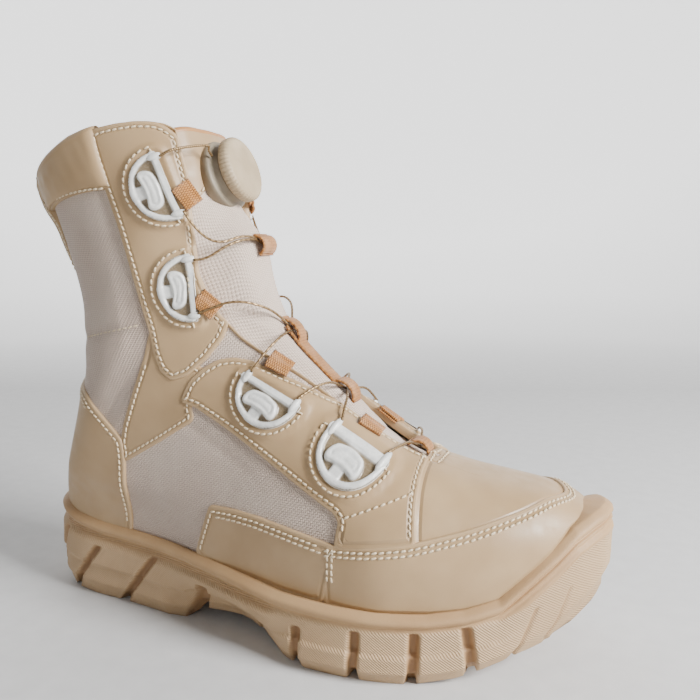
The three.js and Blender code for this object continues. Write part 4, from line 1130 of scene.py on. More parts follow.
RAND_TOP = [
    (181, 57.6), (186, 57.8), (199, 58.9), (216, 60.8), (224, 62.4), (242, 66.6), (258, 71.2), (268, 74),
    (274, 76.5),
]

side_names = {-1: "outer", 1: "inner"}


def leather_piece(node, side, outline, **options):
    name = f"{node}_{side_names[side]}"
    obj, line = side_panel(f"{name}_leather", outline, side, leather_skin, **options)
    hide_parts(name)
    return line


def guide_ring_relief(p, distance):
    """Leather rises in a soft D round each guide."""
    lift = np.zeros(len(p))
    for frame_ in GUIDE_FRAMES:
        d = d_distance(*frame_.local(p[:, 0], p[:, 2]))
        lift = lift + 1.5 * bump(d - 2.4, 1.5) + 0.5 * ease(4, -1, d)
    return lift * np.clip(distance / 3, 0, 1)


# Lace guides: their flat side runs between two places seen from the side, top first
GUIDE_LONG = 33
GUIDE_DEEP = 16.5
GUIDE_ENDS = [
    ((86.5, 232.5), (98, 200.5)),
    ((100.5, 184.5), (106, 151.5)),
    ((130.5, 127.5), (158.5, 112.4)),
    ((173, 105.8), (202.5, 88.6)),
]


class GuideFrame:
    """Own axes of a guide: a along its flat side, b from the flat side into the bow."""

    def __init__(self, top, low):
        top = np.array(top, float)
        low = np.array(low, float)
        self.middle = (top + low) / 2
        self.along = (low - top) / np.linalg.norm(low - top)
        self.back = np.array([self.along[1], -self.along[0]])

    def local(self, x, z):
        dx = x - self.middle[0]
        dz = z - self.middle[1]
        return dx * self.along[0] + dz * self.along[1], dx * self.back[0] + dz * self.back[1]

    def place(self, a, b, side):
        a = np.asarray(a, float)
        b = np.asarray(b, float)
        xz = self.middle + np.outer(a, self.along) + np.outer(b, self.back)
        return on_side(xz, side)


GUIDE_FRAMES = [GuideFrame(*ends) for ends in GUIDE_ENDS]


def d_outline(count):
    """Closed D: flat side first, then the bow."""
    half = GUIDE_LONG / 2
    angle = np.linspace(0, np.pi, 60)
    bow = np.stack([half * np.cos(angle), GUIDE_DEEP * np.sin(angle) ** 0.85], 1)
    flat = np.stack([np.linspace(-half, half, 30)[1:-1], np.zeros(28)], 1)
    loop = resample(rounded(np.concatenate([flat, bow]), 1.6), 0.8)
    return resample(loop, run_along(loop)[-1] / count)


def grown_d(count, grow):
    """The D made larger all round by the length grow."""
    loop = d_outline(count)
    return loop + unit(loop - (0, 7)) * grow


D_TREE_LINE = d_outline(160)
D_TREE = flat_tree(D_TREE_LINE)


def d_distance(a, b):
    """Distance outside the guide's D, negative inside."""
    near = (np.abs(a) < 26) & (b > -9) & (b < 27)
    d = np.full(np.shape(a), 50.0)
    inside = inside_of(np.stack([a, b], 1), D_TREE_LINE)
    for k in np.nonzero(near)[0]:
        d[k] = D_TREE.find((a[k], b[k], 0))[2] * (-1 if inside[k] else 1)
    return d


def in_stay(p):
    return p[:, 2] > 64


def on_panel(p):
    return (over_bead(p) > 3) & (p[:, 0] < 179)


def on_panel_top(p):
    return (p[:, 2] > 56) & (p[:, 0] < 181) & (p[:, 0] > 121)


def on_strap(p):
    return p[:, 2] < 132


for side in (-1, 1):
    line = leather_piece("shaft_stay", side, SHAFT_STAY, cut=2.6, spacing=1.5, extra=guide_ring_relief)
    stitch_edge(line, SEAM_INSET)
    line = leather_piece("vamp_stay", side, VAMP_STAY, cut=2.6, spacing=1.5, extra=guide_ring_relief)
    stitch_edge(line, SEAM_INSET, keep=in_stay)
    line = leather_piece("panel", side, PANEL, cut=2.2)
    stitch_edge(line, SEAM_INSET, keep=on_panel)
    stitch_edge(line, 4.4, keep=on_panel_top)
    line = leather_piece("strap", side, STRAP, cut=2.4, thick=0.9, low=-0.2)
    stitch_edge(line, 1.8, keep=on_strap)

# Nearest places on the outer surface, for strips laid between two lines
skin_rows = np.arange(int(-T_LOW / T_STEP), len(T_AXIS), 2)
skin_low = np.searchsorted(U_AXIS, -1e-9)
skin_cols = np.arange(skin_low, skin_low + U_COUNT + 1, 2)
skin_points = GRID[np.ix_(skin_rows, skin_cols)]
SKIN_TREE = BVHTree.FromPolygons(
    [Vector(p) for p in skin_points.reshape(-1, 3)],
    grid_faces(len(skin_rows), len(skin_cols)),
)


def nearest(points):
    flat = np.asarray(points, float).reshape(-1, 3)
    found = [SKIN_TREE.find_nearest(Vector(p))[0] for p in flat]
    return np.array(found).reshape(np.shape(points))


def sheet_normals(p, middle):
    """Outward directions of a sheet, away from a place in the middle of the boot."""
    n = unit(np.cross(np.gradient(p, axis=1), np.gradient(p, axis=0)))
    if np.sum(n * (p - middle)) < 0:
        n = -n
    return unit(blurred(n, 4))


def around_grid(rows, cols):
    """Numbers of the points round a grid's edge."""
    index = np.arange(rows * cols).reshape(rows, cols)
    return np.concatenate([index[0], index[1:, -1], index[-1, -2::-1], index[-2:0:-1, 0]])


def strip(name, top, bottom, rows, material, thick=SKIN, low=EDGE_LOW, middle=(180, 0, 60), rim=EDGE_ROUND):
    """A piece laid on the upper between two lines of equal length, its edge rounded all round."""
    f = np.linspace(0, 1, rows)[:, None, None]
    base = nearest(top[None] * (1 - f) + bottom[None] * f)
    for _ in range(2):
        base[1:-1, 1:-1] = (base[:-2, 1:-1] + base[2:, 1:-1] + base[1:-1, :-2] + base[1:-1, 2:]) / 4
    n = sheet_normals(base, np.array(middle))
    lift = low + thick + undulate(base.reshape(-1, 3)).reshape(base.shape[:2])
    p = base + n * lift[..., None]
    count_r, count_c = base.shape[:2]
    around = around_grid(count_r, count_c)
    edge = base.reshape(-1, 3)[around]
    edge_n = n.reshape(-1, 3)[around]
    edge_lift = lift.reshape(-1)[around][:, None]
    outward = unit(np.cross(tangents(edge, True), edge_n))
    if np.sum(outward[:count_c] * (top - bottom)) < 0:
        outward = -outward
    rings = edge_rings(edge, edge_n, outward, edge_lift, low, min(rim, thick))
    start = count_r * count_c
    faces = grid_faces(count_r, count_c) + grid_faces(len(rings), len(around), close_cols=True, start=start)
    points = np.concatenate([p.reshape(-1, 3)] + rings)
    edge_tree = point_tree(edge)
    distance = np.array([edge_tree.find(q)[2] for q in base.reshape(-1, 3)])
    values = np.concatenate([distance, np.zeros(len(around) * len(rings))])
    obj = new_object(name, points, faces, material, values={"edge": values})
    tidy(obj)
    return obj, {"p": edge + edge_n * edge_lift, "n": edge_n, "out": outward}


def open_line(outline, cut, step):
    """An open outline with its corners rounded, as even points."""
    return resample(rounded(outline, cut, closed=False), step, closed=False)


# Heel counter, wrapped round the heel
half_edge = open_line(COUNTER_EDGE, 3.0, 1.3)
outer_half = np.array(on_side(half_edge, -1))
inner_half = np.array(on_side(half_edge, 1)) - [[0], [1]]
over_heel = np.linspace(inner_half[:, 0], outer_half[:, 0], 26, axis=1)[:, 1:-1]
under_heel = np.linspace(outer_half[:, -1], inner_half[:, -1], 12, axis=1)[:, 1:-1]
counter_loop = np.concatenate([inner_half[:, ::-1], over_heel, outer_half, under_heel], 1)
counter, line = panel("heel_counter_leather", *counter_loop, leather_skin)
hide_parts("heel_counter")


def on_counter(p):
    return over_bead(p) > 3


def on_counter_top(p):
    return p[:, 2] > 108


stitch_edge(line, SEAM_INSET, keep=on_counter)
stitch_edge(line, 4.3, keep=on_counter_top)

# Rand with the toe cap round the front
RAND_COUNT = 330
rand_top = open_line(RAND_TOP, 3.0, 2.0)
top_points = []
for side in (-1, 1):
    t, u = on_side(rand_top, side)
    top_points.append(surface(t, u)[:-3])
crossing = surface(np.array([2.42]), np.array([0.5]))
top_line = np.concatenate([top_points[0][::3], crossing, top_points[1][::-1][::3]])
top_line = nearest(curve_through(top_line, RAND_COUNT))
RAND_START = 180.5
RAND_INSET = 4.0
RAND_SINK = 3.0


def bead_side(table):
    """One side's lower edge of the rand, inside the sole's edge and under the bead's top."""
    x = np.concatenate([np.linspace(RAND_START, 270, 60), np.linspace(270, 298, 40)[1:]])
    y = between(table, x)
    middle = np.interp(x, [180, 300], [-6, 12])
    y = middle + (y - middle) * (1 - RAND_INSET / np.maximum(np.abs(y - middle), RAND_INSET + 4))
    return np.stack([x - RAND_INSET * ease(230, 290, x), y, between(BEAD_TOP, x) - RAND_SINK], 1)


low_line = np.concatenate([bead_side(SOLE_OUTER), bead_side(SOLE_INNER)[::-1]])
low_line = nearest(resample(low_line, 1.0, closed=False))
low_line = by_count(resample(low_line, 1.0, closed=False), RAND_COUNT)
rand, line = strip("toe_rand_leather", top_line, low_line, 30, leather_skin, middle=(225, 0, 30))
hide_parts("toe_rand")


def on_rand(p):
    return over_bead(p) > 9


stitch_edge(line, 1.9, keep=on_rand)
stitch_edge(line, 4.1, keep=on_rand)


# Vamp: smooth leather between the rand and the throat, with its back edge under the eyestays
VAMP_BACK = [(212, 96), (214.2, 92), (216, 83), (218, 72.6), (220, 60), (224, 50)]
VAMP_COUNT = 240
vamp_side = open_line(VAMP_BACK, 3.0, 1.4)
vamp_lines = [surface(*on_side(vamp_side, side)) for side in (-1, 1)]
throat_u = np.linspace(edge_u(5.45, -1), edge_u(5.45, 1), 24)
throat_line = surface(np.full(24, 5.42), throat_u)
back_line = np.concatenate([vamp_lines[0][::-1], throat_line, vamp_lines[1]])
back_line = nearest(rounded(resample(back_line, 2.0, closed=False), 2.0, closed=False))
back_line = by_count(resample(back_line, 1.0, closed=False), VAMP_COUNT)
front_line = nearest(by_count(top_line[40:-40], VAMP_COUNT) - (0, 0, 2.5))
vamp, line = strip("vamp_leather", back_line, front_line, 60, leather_single, thick=0.5, low=0.05, rim=0.4)


def near_throat(p):
    return (np.abs(p[:, 1]) < 12) & (p[:, 0] < 226) & (p[:, 2] > 80)


stitch_edge(line, 1.8, keep=near_throat)

# Cross seam on the lower part of the vamp eyestays
for side in (-1, 1):
    seam = resample([(188.5, 69.8), (202, 74.8), (215.5, 79.4)], 1.0, closed=False)
    t, u = on_side(seam, side)
    stitch_along(lifted(t, u, np.full(len(t), SKIN + 0.35)), normal(t, u))

# Rolled edges: along the throat and over the wings

def edge_roll(t, u, depth, half_wide, half_high):
    line = lifted(t, u, np.full(len(t), -depth))
    n = normal(t, u)
    return tube(line, unit(np.cross(tangents(line, False), n)), n, half_wide, half_high, 12)


roll_parts = []
for side in (-1, 1):
    rows = UPPER_T[UPPER_T >= THROAT_START]
    places = [np.array(upper_place(row_t, np.array([1.0]), side)) for row_t in rows]
    wing = np.array(upper_place(LAST, np.linspace(1, 0.50, 40), side))
    t, u = np.concatenate(places + [wing[:, 1:]], 1)
    roll_parts.append(edge_roll(t, u, 0.5, 0.75, 2.1))
t = np.full(30, THROAT_START)
u = np.linspace(edge_u(THROAT_START, -1), edge_u(THROAT_START, 1), 30)
roll_parts.append(edge_roll(t, u, 0.6, 0.7, 1.5))
points, faces = joined(roll_parts)
rolls = new_object("throat_edge_roll", points, faces, leather_skin, values=far_from_edge(points))

# Padded collar: bulges outside, rolls over the top and comes down inside
COLLAR_LOW = [(-10, 203.5), (14, 205.5), (20.5, 207), (31.7, 209.8), (41.8, 211.8), (54, 213.4), (64, 213.8)]


COLLAR_ENDS = [(64.6, 213), (60.5, 226), (57.6, 238)]
end_t, end_u = on_side(COLLAR_ENDS, -1)
far_t, far_u = on_side(COLLAR_ENDS, 1)
COLLAR_COUNT = 190
COLLAR_END_TUCK = 2.2
COLLAR_END_ROUND = 5.5
COLLAR_ROLL = 4.4
COLLAR_OUT = 4.4
COLLAR_IN = -6.0
COLLAR_DROP = 0.14
collar_share = np.linspace(0, 1, COLLAR_COUNT)
collar_u = np.linspace(end_u[1], far_u[1] - 1, COLLAR_COUNT)
collar_low = t_at_height(collar_u, COLLAR_LOW, 16)
collar_high = collar_t(collar_u)


collar_girth = float(np.interp(20.5, GIRTH_T, GIRTH_SUM))


def collar_places(t):
    """u along the collar, whose ends follow the rear edges of the eyestays."""
    at = np.broadcast_to(t, collar_u.shape)
    one = np.interp(at, end_t, end_u) + COLLAR_END_TUCK / collar_girth
    two = np.interp(at, far_t, far_u) - 1 - COLLAR_END_TUCK / collar_girth
    return one + (two - one) * collar_share


def collar_rows(low_t, high_t):
    """Rows of the pad: up the outside, over the roll and down the inside."""
    rows = []
    order = np.arange(COLLAR_COUNT)
    step = (collar_u[0] - collar_u[-1]) / (COLLAR_COUNT - 1) * collar_girth
    near_end = soft_edge(np.minimum(order, order[::-1]) * step, COLLAR_END_ROUND)
    out_lift = 1.0 + (COLLAR_OUT - 1.0) * near_end
    u = collar_places(high_t)
    up = unit(surface(high_t, u) - surface(high_t - 0.3, u))
    n = normal(high_t, u)
    for f in np.concatenate([np.linspace(0, 0.1, 6), np.linspace(0.1, 0.9, 14)[1:]]):
        t = low_t + (high_t - COLLAR_DROP - low_t) * f / 0.9
        lift = 0.3 + (out_lift - 0.3) * soft_edge(f, 0.16) * (0.9 + 0.1 * np.sin(np.pi * f))
        here = collar_places(t)
        wave = 0.06 * np.sin(here * 260 + f * 3) * np.sin(np.pi * f)
        rows.append(lifted(t, here, lift + wave))
    base = surface(high_t - COLLAR_DROP, u)
    middle = ((out_lift + COLLAR_IN) / 2)[:, None]
    half = ((out_lift - COLLAR_IN) / 2)[:, None]
    for a in np.linspace(0, np.pi, 13)[1:]:
        rows.append(base + n * (middle + half * math.cos(a)) + up * COLLAR_ROLL * math.sin(a))
    for f in np.linspace(0, 1, 8)[1:]:
        t = high_t - COLLAR_DROP - 0.5 * f
        lift = COLLAR_IN + 0.5 * f - 0.2 * math.sin(math.pi * f)
        rows.append(lifted(t, u, np.full(len(u), lift)))
    return np.array(rows)


rows = collar_rows(collar_low, collar_high)
distance = np.minimum(np.arange(len(rows)) * 1.2, 9)[:, None] + np.zeros(COLLAR_COUNT)
collar = new_object("collar_pad", rows.reshape(-1, 3), grid_faces(len(rows), COLLAR_COUNT), leather_pad,
                    values={"edge": distance.ravel()})
tidy(collar)
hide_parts("collar_outer", "collar_inner")
seam = lifted(collar_low + 0.07, collar_u, np.full(len(collar_u), 2.6))
stitch_along(seam[2:-2], normal(collar_low, collar_u)[2:-2])

# Padded tab down the back
TAB = [(-24, 232), (-23.5, 215), (-22, 200), (-19.5, 186), (-15, 177), (-8, 171), (0, 169)]
tab_curve = open_line(TAB + [(-y, z) for y, z in TAB[-2::-1]], 3.5, 1.3)


def from_behind(places):
    """t and u of places on the back, given as y and z."""
    found = []
    for y, z in places:
        u = 0.0
        t = 20.0
        for _ in range(25):
            p = surface(t, u)
            du = (surface(t, u + 0.004) - p) / 0.004
            dt = (surface(t + 0.05, u) - p) / 0.05
            det = du[1] * dt[2] - dt[1] * du[2]
            t += np.clip((du[1] * (z - p[2]) - du[2] * (y - p[1])) / det, -0.5, 0.5)
            u += np.clip(((y - p[1]) * dt[2] - dt[1] * (z - p[2])) / det, -0.05, 0.05)
            t = min(max(t, 15), LAST)
            u = min(max(u, -0.24), 0.24)
        found.append((t, u))
    return np.array(found).T


TAB_UNDER_COLLAR = 0.02
tab_t, tab_u = from_behind(tab_curve)
tab_t = np.minimum(tab_t, collar_t(tab_u) - TAB_UNDER_COLLAR)
top_u = np.linspace(tab_u[-1], tab_u[0], 44)[1:-1]
tab_t = np.concatenate([tab_t, collar_t(top_u) - TAB_UNDER_COLLAR])
tab_u = np.concatenate([tab_u, top_u])


def tab_lift(p, distance):
    high = ease(196, 212, p[:, 2])
    return 3.1 * high + 2.6 * soft_edge(distance, 9) * (1 - 0.25 * high)


def on_tab(p):
    return p[:, 2] < 212


tab, line = panel("back_tab_pad", tab_t, tab_u, leather_pad, extra=tab_lift)
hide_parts("back_tab")
stitch_edge(line, -1.6, keep=on_tab)

# Tongue: cloth with a leather patch above and a bound edge
RECESS = [(188, 0.6), (198, 2), (208, 6), (220, 9.2), (235, 9), (250, 8.5)]
TONGUE_RISE = 17
TONGUE_THICK = 3.0
TONGUE_COLS = 61


def half_run(t, v):
    outer = np.array([GIRTH[k][0] for k in GIRTH_T])
    inner = np.array([GIRTH[k][1] for k in GIRTH_T])
    return np.where(v < 0, np.interp(t, GIRTH_T, outer), np.interp(t, GIRTH_T, inner))


def tongue_t(t, v):
    """t of the tongue's rows, which turn towards its top edge above TONGUE_RISE."""
    reach = 0.5 + (edge_u(20, 1) - 0.5) * 1.25 * v
    top = TONGUE_TOP - 7 * np.abs(v) ** 3
    axis = np.arange(TONGUE_RISE, LAST + 0.001, 0.1)
    found = np.empty(np.shape(t))
    for k in np.ndindex(np.shape(t)):
        high = np.interp(top[k], surface(axis, np.full(axis.shape, reach[k]))[:, 2], axis)
        share = max(t[k] - TONGUE_RISE, 0) / (LAST - TONGUE_RISE)
        found[k] = min(t[k], TONGUE_RISE) + share * (high - TONGUE_RISE)
    return found


def tongue_place(t, v, depth=0.0):
    """t, u and lift on the tongue, v from -1 to 1 across it and depth under its face."""
    t = np.asarray(t, float)
    v = np.asarray(v, float)
    at = tongue_t(t, v)
    side_u = np.where(v < 0, edge_u(at, -1), edge_u(at, 1))
    edge = np.abs(side_u - 0.5)
    reach = edge + TONGUE_SIDE / half_run(at, v) * 0.5
    u = 0.5 + reach * v
    free = ease(5.7, 6.8, at) * (1 - ease(0.3, 0.82, np.abs(v) * reach / edge))
    tuck = WALL + GAP + 1.1
    middle = between(RECESS, surface(at, np.full(at.shape, 0.5))[..., 2])
    side = 0.5 * np.maximum(middle - tuck, 0) * (1 - free) * ease(1.4, 0.6, np.abs(v) * 1.3)
    lift = -tuck * (1 - free) - middle * free - side - depth
    return at, u, lift


def tongue_folds(p):
    """Creases pressed in: long folds from the flex at the instep, and quilting above."""
    x, y, z = p[..., 0], p[..., 1], p[..., 2]
    fold = -1.0 * bump((z - 150) + (y + 10) * 0.8, 2.0) * ease(-26, -8, -np.abs(y + 14))
    fold = fold - 0.8 * bump((z - 165) - (y + 8) * 0.9, 1.8) * ease(-22, -6, -np.abs(y + 12))
    fold = fold - 0.9 * bump((z - 108) + (y + 4) * 1.1, 1.7)
    fold = fold + 0.7 * bump((z - 102) - (y + 6) * 0.8, 2.0)
    wave = 0.35 * np.sin(y / 5.5 + z / 14) * np.sin(z / 9 - y / 17)
    return fold * (1 - ease(175, 190, z)) + wave


tongue_rows = np.concatenate([np.arange(5, TONGUE_RISE, 0.1), np.arange(TONGUE_RISE, LAST + 0.01, 0.1)])
tongue_v = np.linspace(-1, 1, TONGUE_COLS)
grid_t, grid_v = np.meshgrid(tongue_rows, tongue_v, indexing="ij")
at, u, lift = tongue_place(grid_t, grid_v)
front = lifted(at, u, lift)
middle_share = 1 - ease(0.55, 0.95, np.abs(grid_v))
front = front + normal(at, u) * (tongue_folds(front) * middle_share)[..., None]
back = lifted(at, u, lift - TONGUE_THICK)[:, ::-1]


def tongue_map(face):
    """Weave places of one face: across, and the distance run down the tongue."""
    down = np.cumsum(np.linalg.norm(np.gradient(face, axis=0), axis=2), axis=0)
    return np.stack([face[..., 1], down], -1)


turns = np.concatenate([front, back], 1)
faces = grid_faces(*turns.shape[:2], close_cols=True) + [cap[::-1] for cap in caps(*turns.shape[:2])]
weave = np.concatenate([tongue_map(front), tongue_map(back)], 1)
tongue = new_object("tongue_cloth", turns.reshape(-1, 3), faces, cloth_tongue, maps=weave.reshape(-1, 2))
tidy(tongue)
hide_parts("tongue")

# Leather patch on the upper part of the tongue
PATCH_ROWS = 40
PATCH_EDGE = [(0, 18.55), (0.4, 18.5), (0.75, 18.2), (1, 17.9)]
patch_v = np.linspace(-0.93, 0.93, TONGUE_COLS)
patch_low = between(PATCH_EDGE, np.abs(patch_v))
share = np.linspace(0, 1, PATCH_ROWS)[:, None]
patch_t = patch_low[None] + (LAST - 0.1 - patch_low[None]) * share
patch_at, patch_u, patch_lift = tongue_place(patch_t, np.broadcast_to(patch_v, patch_t.shape))
patch_lift = patch_lift + np.sqrt(np.minimum(share * 22, 1))
patch = lifted(patch_at, patch_u, patch_lift)
patch_edge = np.broadcast_to(share * 50, patch_t.shape)
skirt = lifted(patch_at[0], patch_u[0], patch_lift[0] - 0.8)[None]
patch_all = np.concatenate([skirt, patch])
leather_patch = new_object(
    "tongue_patch", patch_all.reshape(-1, 3), grid_faces(PATCH_ROWS + 1, TONGUE_COLS), leather_skin,
    values={"edge": np.concatenate([np.zeros(TONGUE_COLS), patch_edge.ravel()])},
)
tidy(leather_patch)
patch_normal = normal(patch_at[2], patch_u[2])
stitch_along(patch[2] + patch_normal * 0.15, patch_normal)

# Binding over the tongue's top and down its sides
BIND_V = 0.985
BIND_LOW = 19.4
bind_v = np.concatenate([np.full(30, -BIND_V), np.linspace(-BIND_V, BIND_V, 60), np.full(30, BIND_V)])
bind_t = np.concatenate([np.linspace(BIND_LOW, LAST, 30), np.full(60, LAST), np.linspace(LAST, BIND_LOW, 30)])
line = open_line(lifted(*tongue_place(bind_t, bind_v, TONGUE_THICK / 2)), 3.0, 1.2)
across, up = framed(line, hint=(1, 0, 0.3))
points, faces = tube(line, across, up, 2.3, 2.4, 12)
binding_skin = leather("binding_leather", linear(192, 140, 86), linear(166, 114, 66), linear(208, 160, 108))
binding = new_object("tongue_binding", points, faces, binding_skin, values=far_from_edge(points))
stitch_along(line[28:-28] + (1.6, 0, -1.6), (1, 0, 0.2))


def tongue_point(t):
    """A place on the middle line of the tongue's face."""
    return lifted(*tongue_place([float(t)], [0.0]))[0]


def tongue_at(x):
    """t of the middle of the tongue at a place along x, found by halving."""
    low = 5.6
    high = float(LAST)
    for _ in range(30):
        mid = (low + high) / 2
        if tongue_point(mid)[0] > x:
            low = mid
        else:
            high = mid
    return low


# Dial: base with a flange and ribbed knob
DIAL_RADIUS = 16.5
DIAL_BASE = 6.4
DIAL_GAP = 0.3
DIAL_KNOB = 6.6
DIAL_RIBS = 48
DIAL_X = 103.6
dial_t = tongue_at(DIAL_X)
dial_foot = tongue_point(dial_t)
dial_up = unit(tongue_point(min(dial_t + 0.2, LAST)) - tongue_point(dial_t - 0.2))
dial_side = np.array([0.0, 1.0, 0.0])
dial_out = unit(np.cross(dial_side, dial_up))
if dial_out[0] < 0:
    dial_out = -dial_out


def dial_place(side, out, up):
    side, out, up = np.broadcast_arrays(np.asarray(side, float), out, up)
    return dial_foot + side[..., None] * dial_side + out[..., None] * dial_out + up[..., None] * dial_up


def turned(profile, sides, rib_depth=0.0, rib_rows=()):
    """A body turned round the dial's axis from radius and height, with ribs in some rows."""
    angle = np.linspace(0, 2 * np.pi, sides, endpoint=False)
    rows = []
    for k, (radius, height) in enumerate(profile):
        r = np.full(sides, float(radius))
        if k in rib_rows:
            r = r - rib_depth * (0.5 + 0.5 * np.cos(DIAL_RIBS * angle)) ** 2
        rows.append(dial_place(r * np.cos(angle), height, r * np.sin(angle)))
    return np.concatenate(rows), grid_faces(len(profile), sides, close_cols=True) + caps(len(profile), sides)


foot = DIAL_BASE + DIAL_GAP
top = foot + DIAL_KNOB
knob_profile = [
    (14.4, foot), (15.2, foot + 0.1), (15.9, foot + 0.6), (16.4, foot + 1.2), (DIAL_RADIUS, foot + 2.4),
    (DIAL_RADIUS, top - 2.6), (16.3, top - 1.8), (15.8, top - 1.1), (15.0, top - 0.5), (14.0, top - 0.15),
    (12.5, top), (9, top + 0.12), (4, top + 0.2), (0.4, top + 0.22),
]
points, faces = turned(knob_profile, 8 * DIAL_RIBS, 0.55, range(2, 8))
knob = new_object("dial_knob_ribbed", points, faces, knob_skin, values=far_from_edge(points))
tidy(knob)
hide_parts("dial_knob")
base_profile = [
    (17.4, -3.5), (17.7, 0.2), (17.7, 1.2), (17.3, 1.9), (16.2, 2.3), (15.0, 2.6), (14.6, 3.0), (14.4, 5.4),
    (14.0, 6.1), (12, DIAL_BASE), (0.5, DIAL_BASE),
]
points, faces = turned(base_profile, 128)
dial_base = new_object("dial_base_moulded", points, faces, base_skin, values=far_from_edge(points))
tidy(dial_base)
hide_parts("dial_base")

# Sole: one closed skin with bead, textured strip, faceted lugs and slanted grooves
SIDE_COUNT = 400
outer_line = curve_through(SOLE_OUTER, SIDE_COUNT)
inner_line = curve_through(SOLE_INNER, SIDE_COUNT)
sole_line = np.concatenate([outer_line, inner_line[-2:0:-1]])
SOLE_COUNT = len(sole_line)
sole_step = np.roll(sole_line, -1, axis=0) - np.roll(sole_line, 1, axis=0)
sole_in = unit(np.stack([-sole_step[:, 1], sole_step[:, 0]], 1))
for _ in range(8):
    sole_in = unit(np.roll(sole_in, 1, axis=0) + sole_in * 2 + np.roll(sole_in, -1, axis=0))
sole_x = np.clip(sole_line[:, 0], 0, 299)
sole_side = np.where(np.arange(SOLE_COUNT) < SIDE_COUNT, -1, 1)
sole_run = {}
for side, line in ((-1, outer_line), (1, inner_line)):
    rising_x = np.maximum.accumulate(line[:, 0] + np.arange(len(line)) * 1e-6)
    sole_run[side] = (rising_x, run_along(line))


def run_at(x, side):
    """Distance along the sole's edge from the heel, at x on either side."""
    return np.where(side < 0, np.interp(x, *sole_run[-1]), np.interp(x, *sole_run[1]))


SOLE_ARCH = [(98, 0), (104, 7), (118, 7.6), (132, 7.2), (148, 3), (157, 0)]

DEEPEST = 3.4
TREAD_STEP = 15.5

# Grooves of the side: foot and head as x and z, width and depth
SIDE_GROOVES = [
    ((11, 20), (16, 35), 3.6, 2.6),
    ((22.4, 6), (41.5, 29), 4.2, 3.2),
    ((60, 6), (79.5, 30), 4.4, 3.2),
    ((101, 5), (112.5, 24), 6.5, 3.0),
    ((140, 2), (143, 17), 4.0, 2.6),
    ((167, -1), (168.5, 20), 4.0, 3.4),
    ((196, -1), (197, 23), 4.0, 3.4),
    ((222, -1), (223, 24), 4.2, 3.4),
    ((247, 3), (244, 27), 4.4, 3.2),
    ((262.5, 10), (271, 34), 1.6, 1.2),
    ((276, 16), (284, 40), 1.4, 1.0),
]

# Depths under the top of the side: lower edge of the bead, and upper edge of the lugs by region
BEAD_HIGH = 6.4
HEEL_LUG = 9.6
FRONT_LUG = 7.4
TOE_LUG = 11.5
STRIP_INSET = 2.9
FINE_ROWS = 7.3


def sole_profile(down, tall, x):
    """Inset, strip mask and lug mask at a distance down from the top of the side."""
    roll = np.sin(np.pi * np.clip(down / BEAD_HIGH, 0, 1))
    bead = np.where(down < BEAD_HIGH / 2, 4.3 - 3.6 * roll, STRIP_INSET - 2.2 * roll)
    front = ease(150, 162, x)
    toe = ease(252, 268, x)
    head = HEEL_LUG * (1 - front) + FRONT_LUG * front
    head = head * (1 - toe) + TOE_LUG * toe
    f = np.clip((down - head) / np.maximum(tall - head, 1), 0, 1)
    knees = [0, 0.05, 0.10, 0.42, 0.47, 0.74, 0.80, 1.0]
    heel_face = np.interp(f, knees, [3.0, 1.4, 0.6, 0.2, 1.5, 1.3, 2.5, 5.2])
    front_face = np.interp(f, knees, [3.0, 2.1, 1.9, 1.7, 0.1, 0.2, 1.5, 4.8])
    toe_face = np.interp(f, knees, [0.5, 0.5, 0.7, 0.9, 0.8, 1.2, 1.9, 4.4])
    face = (heel_face * (1 - front) + front_face * front) * (1 - toe) + toe_face * toe
    toe_dip = 0.7 + 1.3 * bump(down - 8.4, 1.0) - 0.5 * bump(down - 11.2, 1.4)
    dip = STRIP_INSET * (1 - toe) + toe * toe_dip
    middle = np.clip((down - BEAD_HIGH) / 0.5, 0, 1)
    over = np.clip((down - head) / 0.7, 0, 1)
    inset = np.where(down < BEAD_HIGH, bead, STRIP_INSET + (dip - STRIP_INSET) * middle)
    inset = inset * (1 - over) + face * over
    share = np.clip((down - 9) / np.maximum(tall - 9, 1), 0, 1)
    inset = inset + between(WAIST, x) * ease(0.1, 0.8, share) * 0.9
    strip_mask = ease(6.6, 7.0, down) * ease(head - 0.1, head - 0.5, down) * (1 - front)
    return inset, strip_mask, over


def groove_mask(x, z, side):
    """Depth of the side's grooves at each place."""
    mask = np.zeros(x.shape)
    run = run_at(x, side)
    for (x0, z0), (x1, z1), wide, depth in SIDE_GROOVES:
        line_x = x0 + (x1 - x0) * (z - z0) / (z1 - z0)
        across = ease(wide / 2 + 0.9, wide / 2 - 0.7, np.abs(run - run_at(line_x, side)))
        mask = np.maximum(mask, across * ease(z1 + 1, z1 - 1.5, z) * depth)
    return mask


sole_top = between(BEAD_TOP, sole_x)
sole_low_z = between(UNDERSIDE, sole_x) + between(SOLE_ARCH, sole_x)
tall = sole_top - sole_low_z
near_rows = [0, 0.3, 0.7, 1.2, 1.8, 2.5, 3.2, 3.9, 4.5, 5.1, 5.6, 6.0, 6.35, 6.6, 6.9, FINE_ROWS]
side_rows = [np.full(SOLE_COUNT, down) for down in near_rows]
side_rows += [FINE_ROWS + (tall - FINE_ROWS) * share for share in np.linspace(0, 1, 42)[1:]]
rings = []
masks = {"strip": [], "lug": [], "deep": []}


def add_ring(points, strip_value, lug_value, deep_value):
    rings.append(points)
    for key, value in (("strip", strip_value), ("lug", lug_value), ("deep", deep_value)):
        masks[key].append(np.broadcast_to(np.asarray(value, float), SOLE_COUNT))


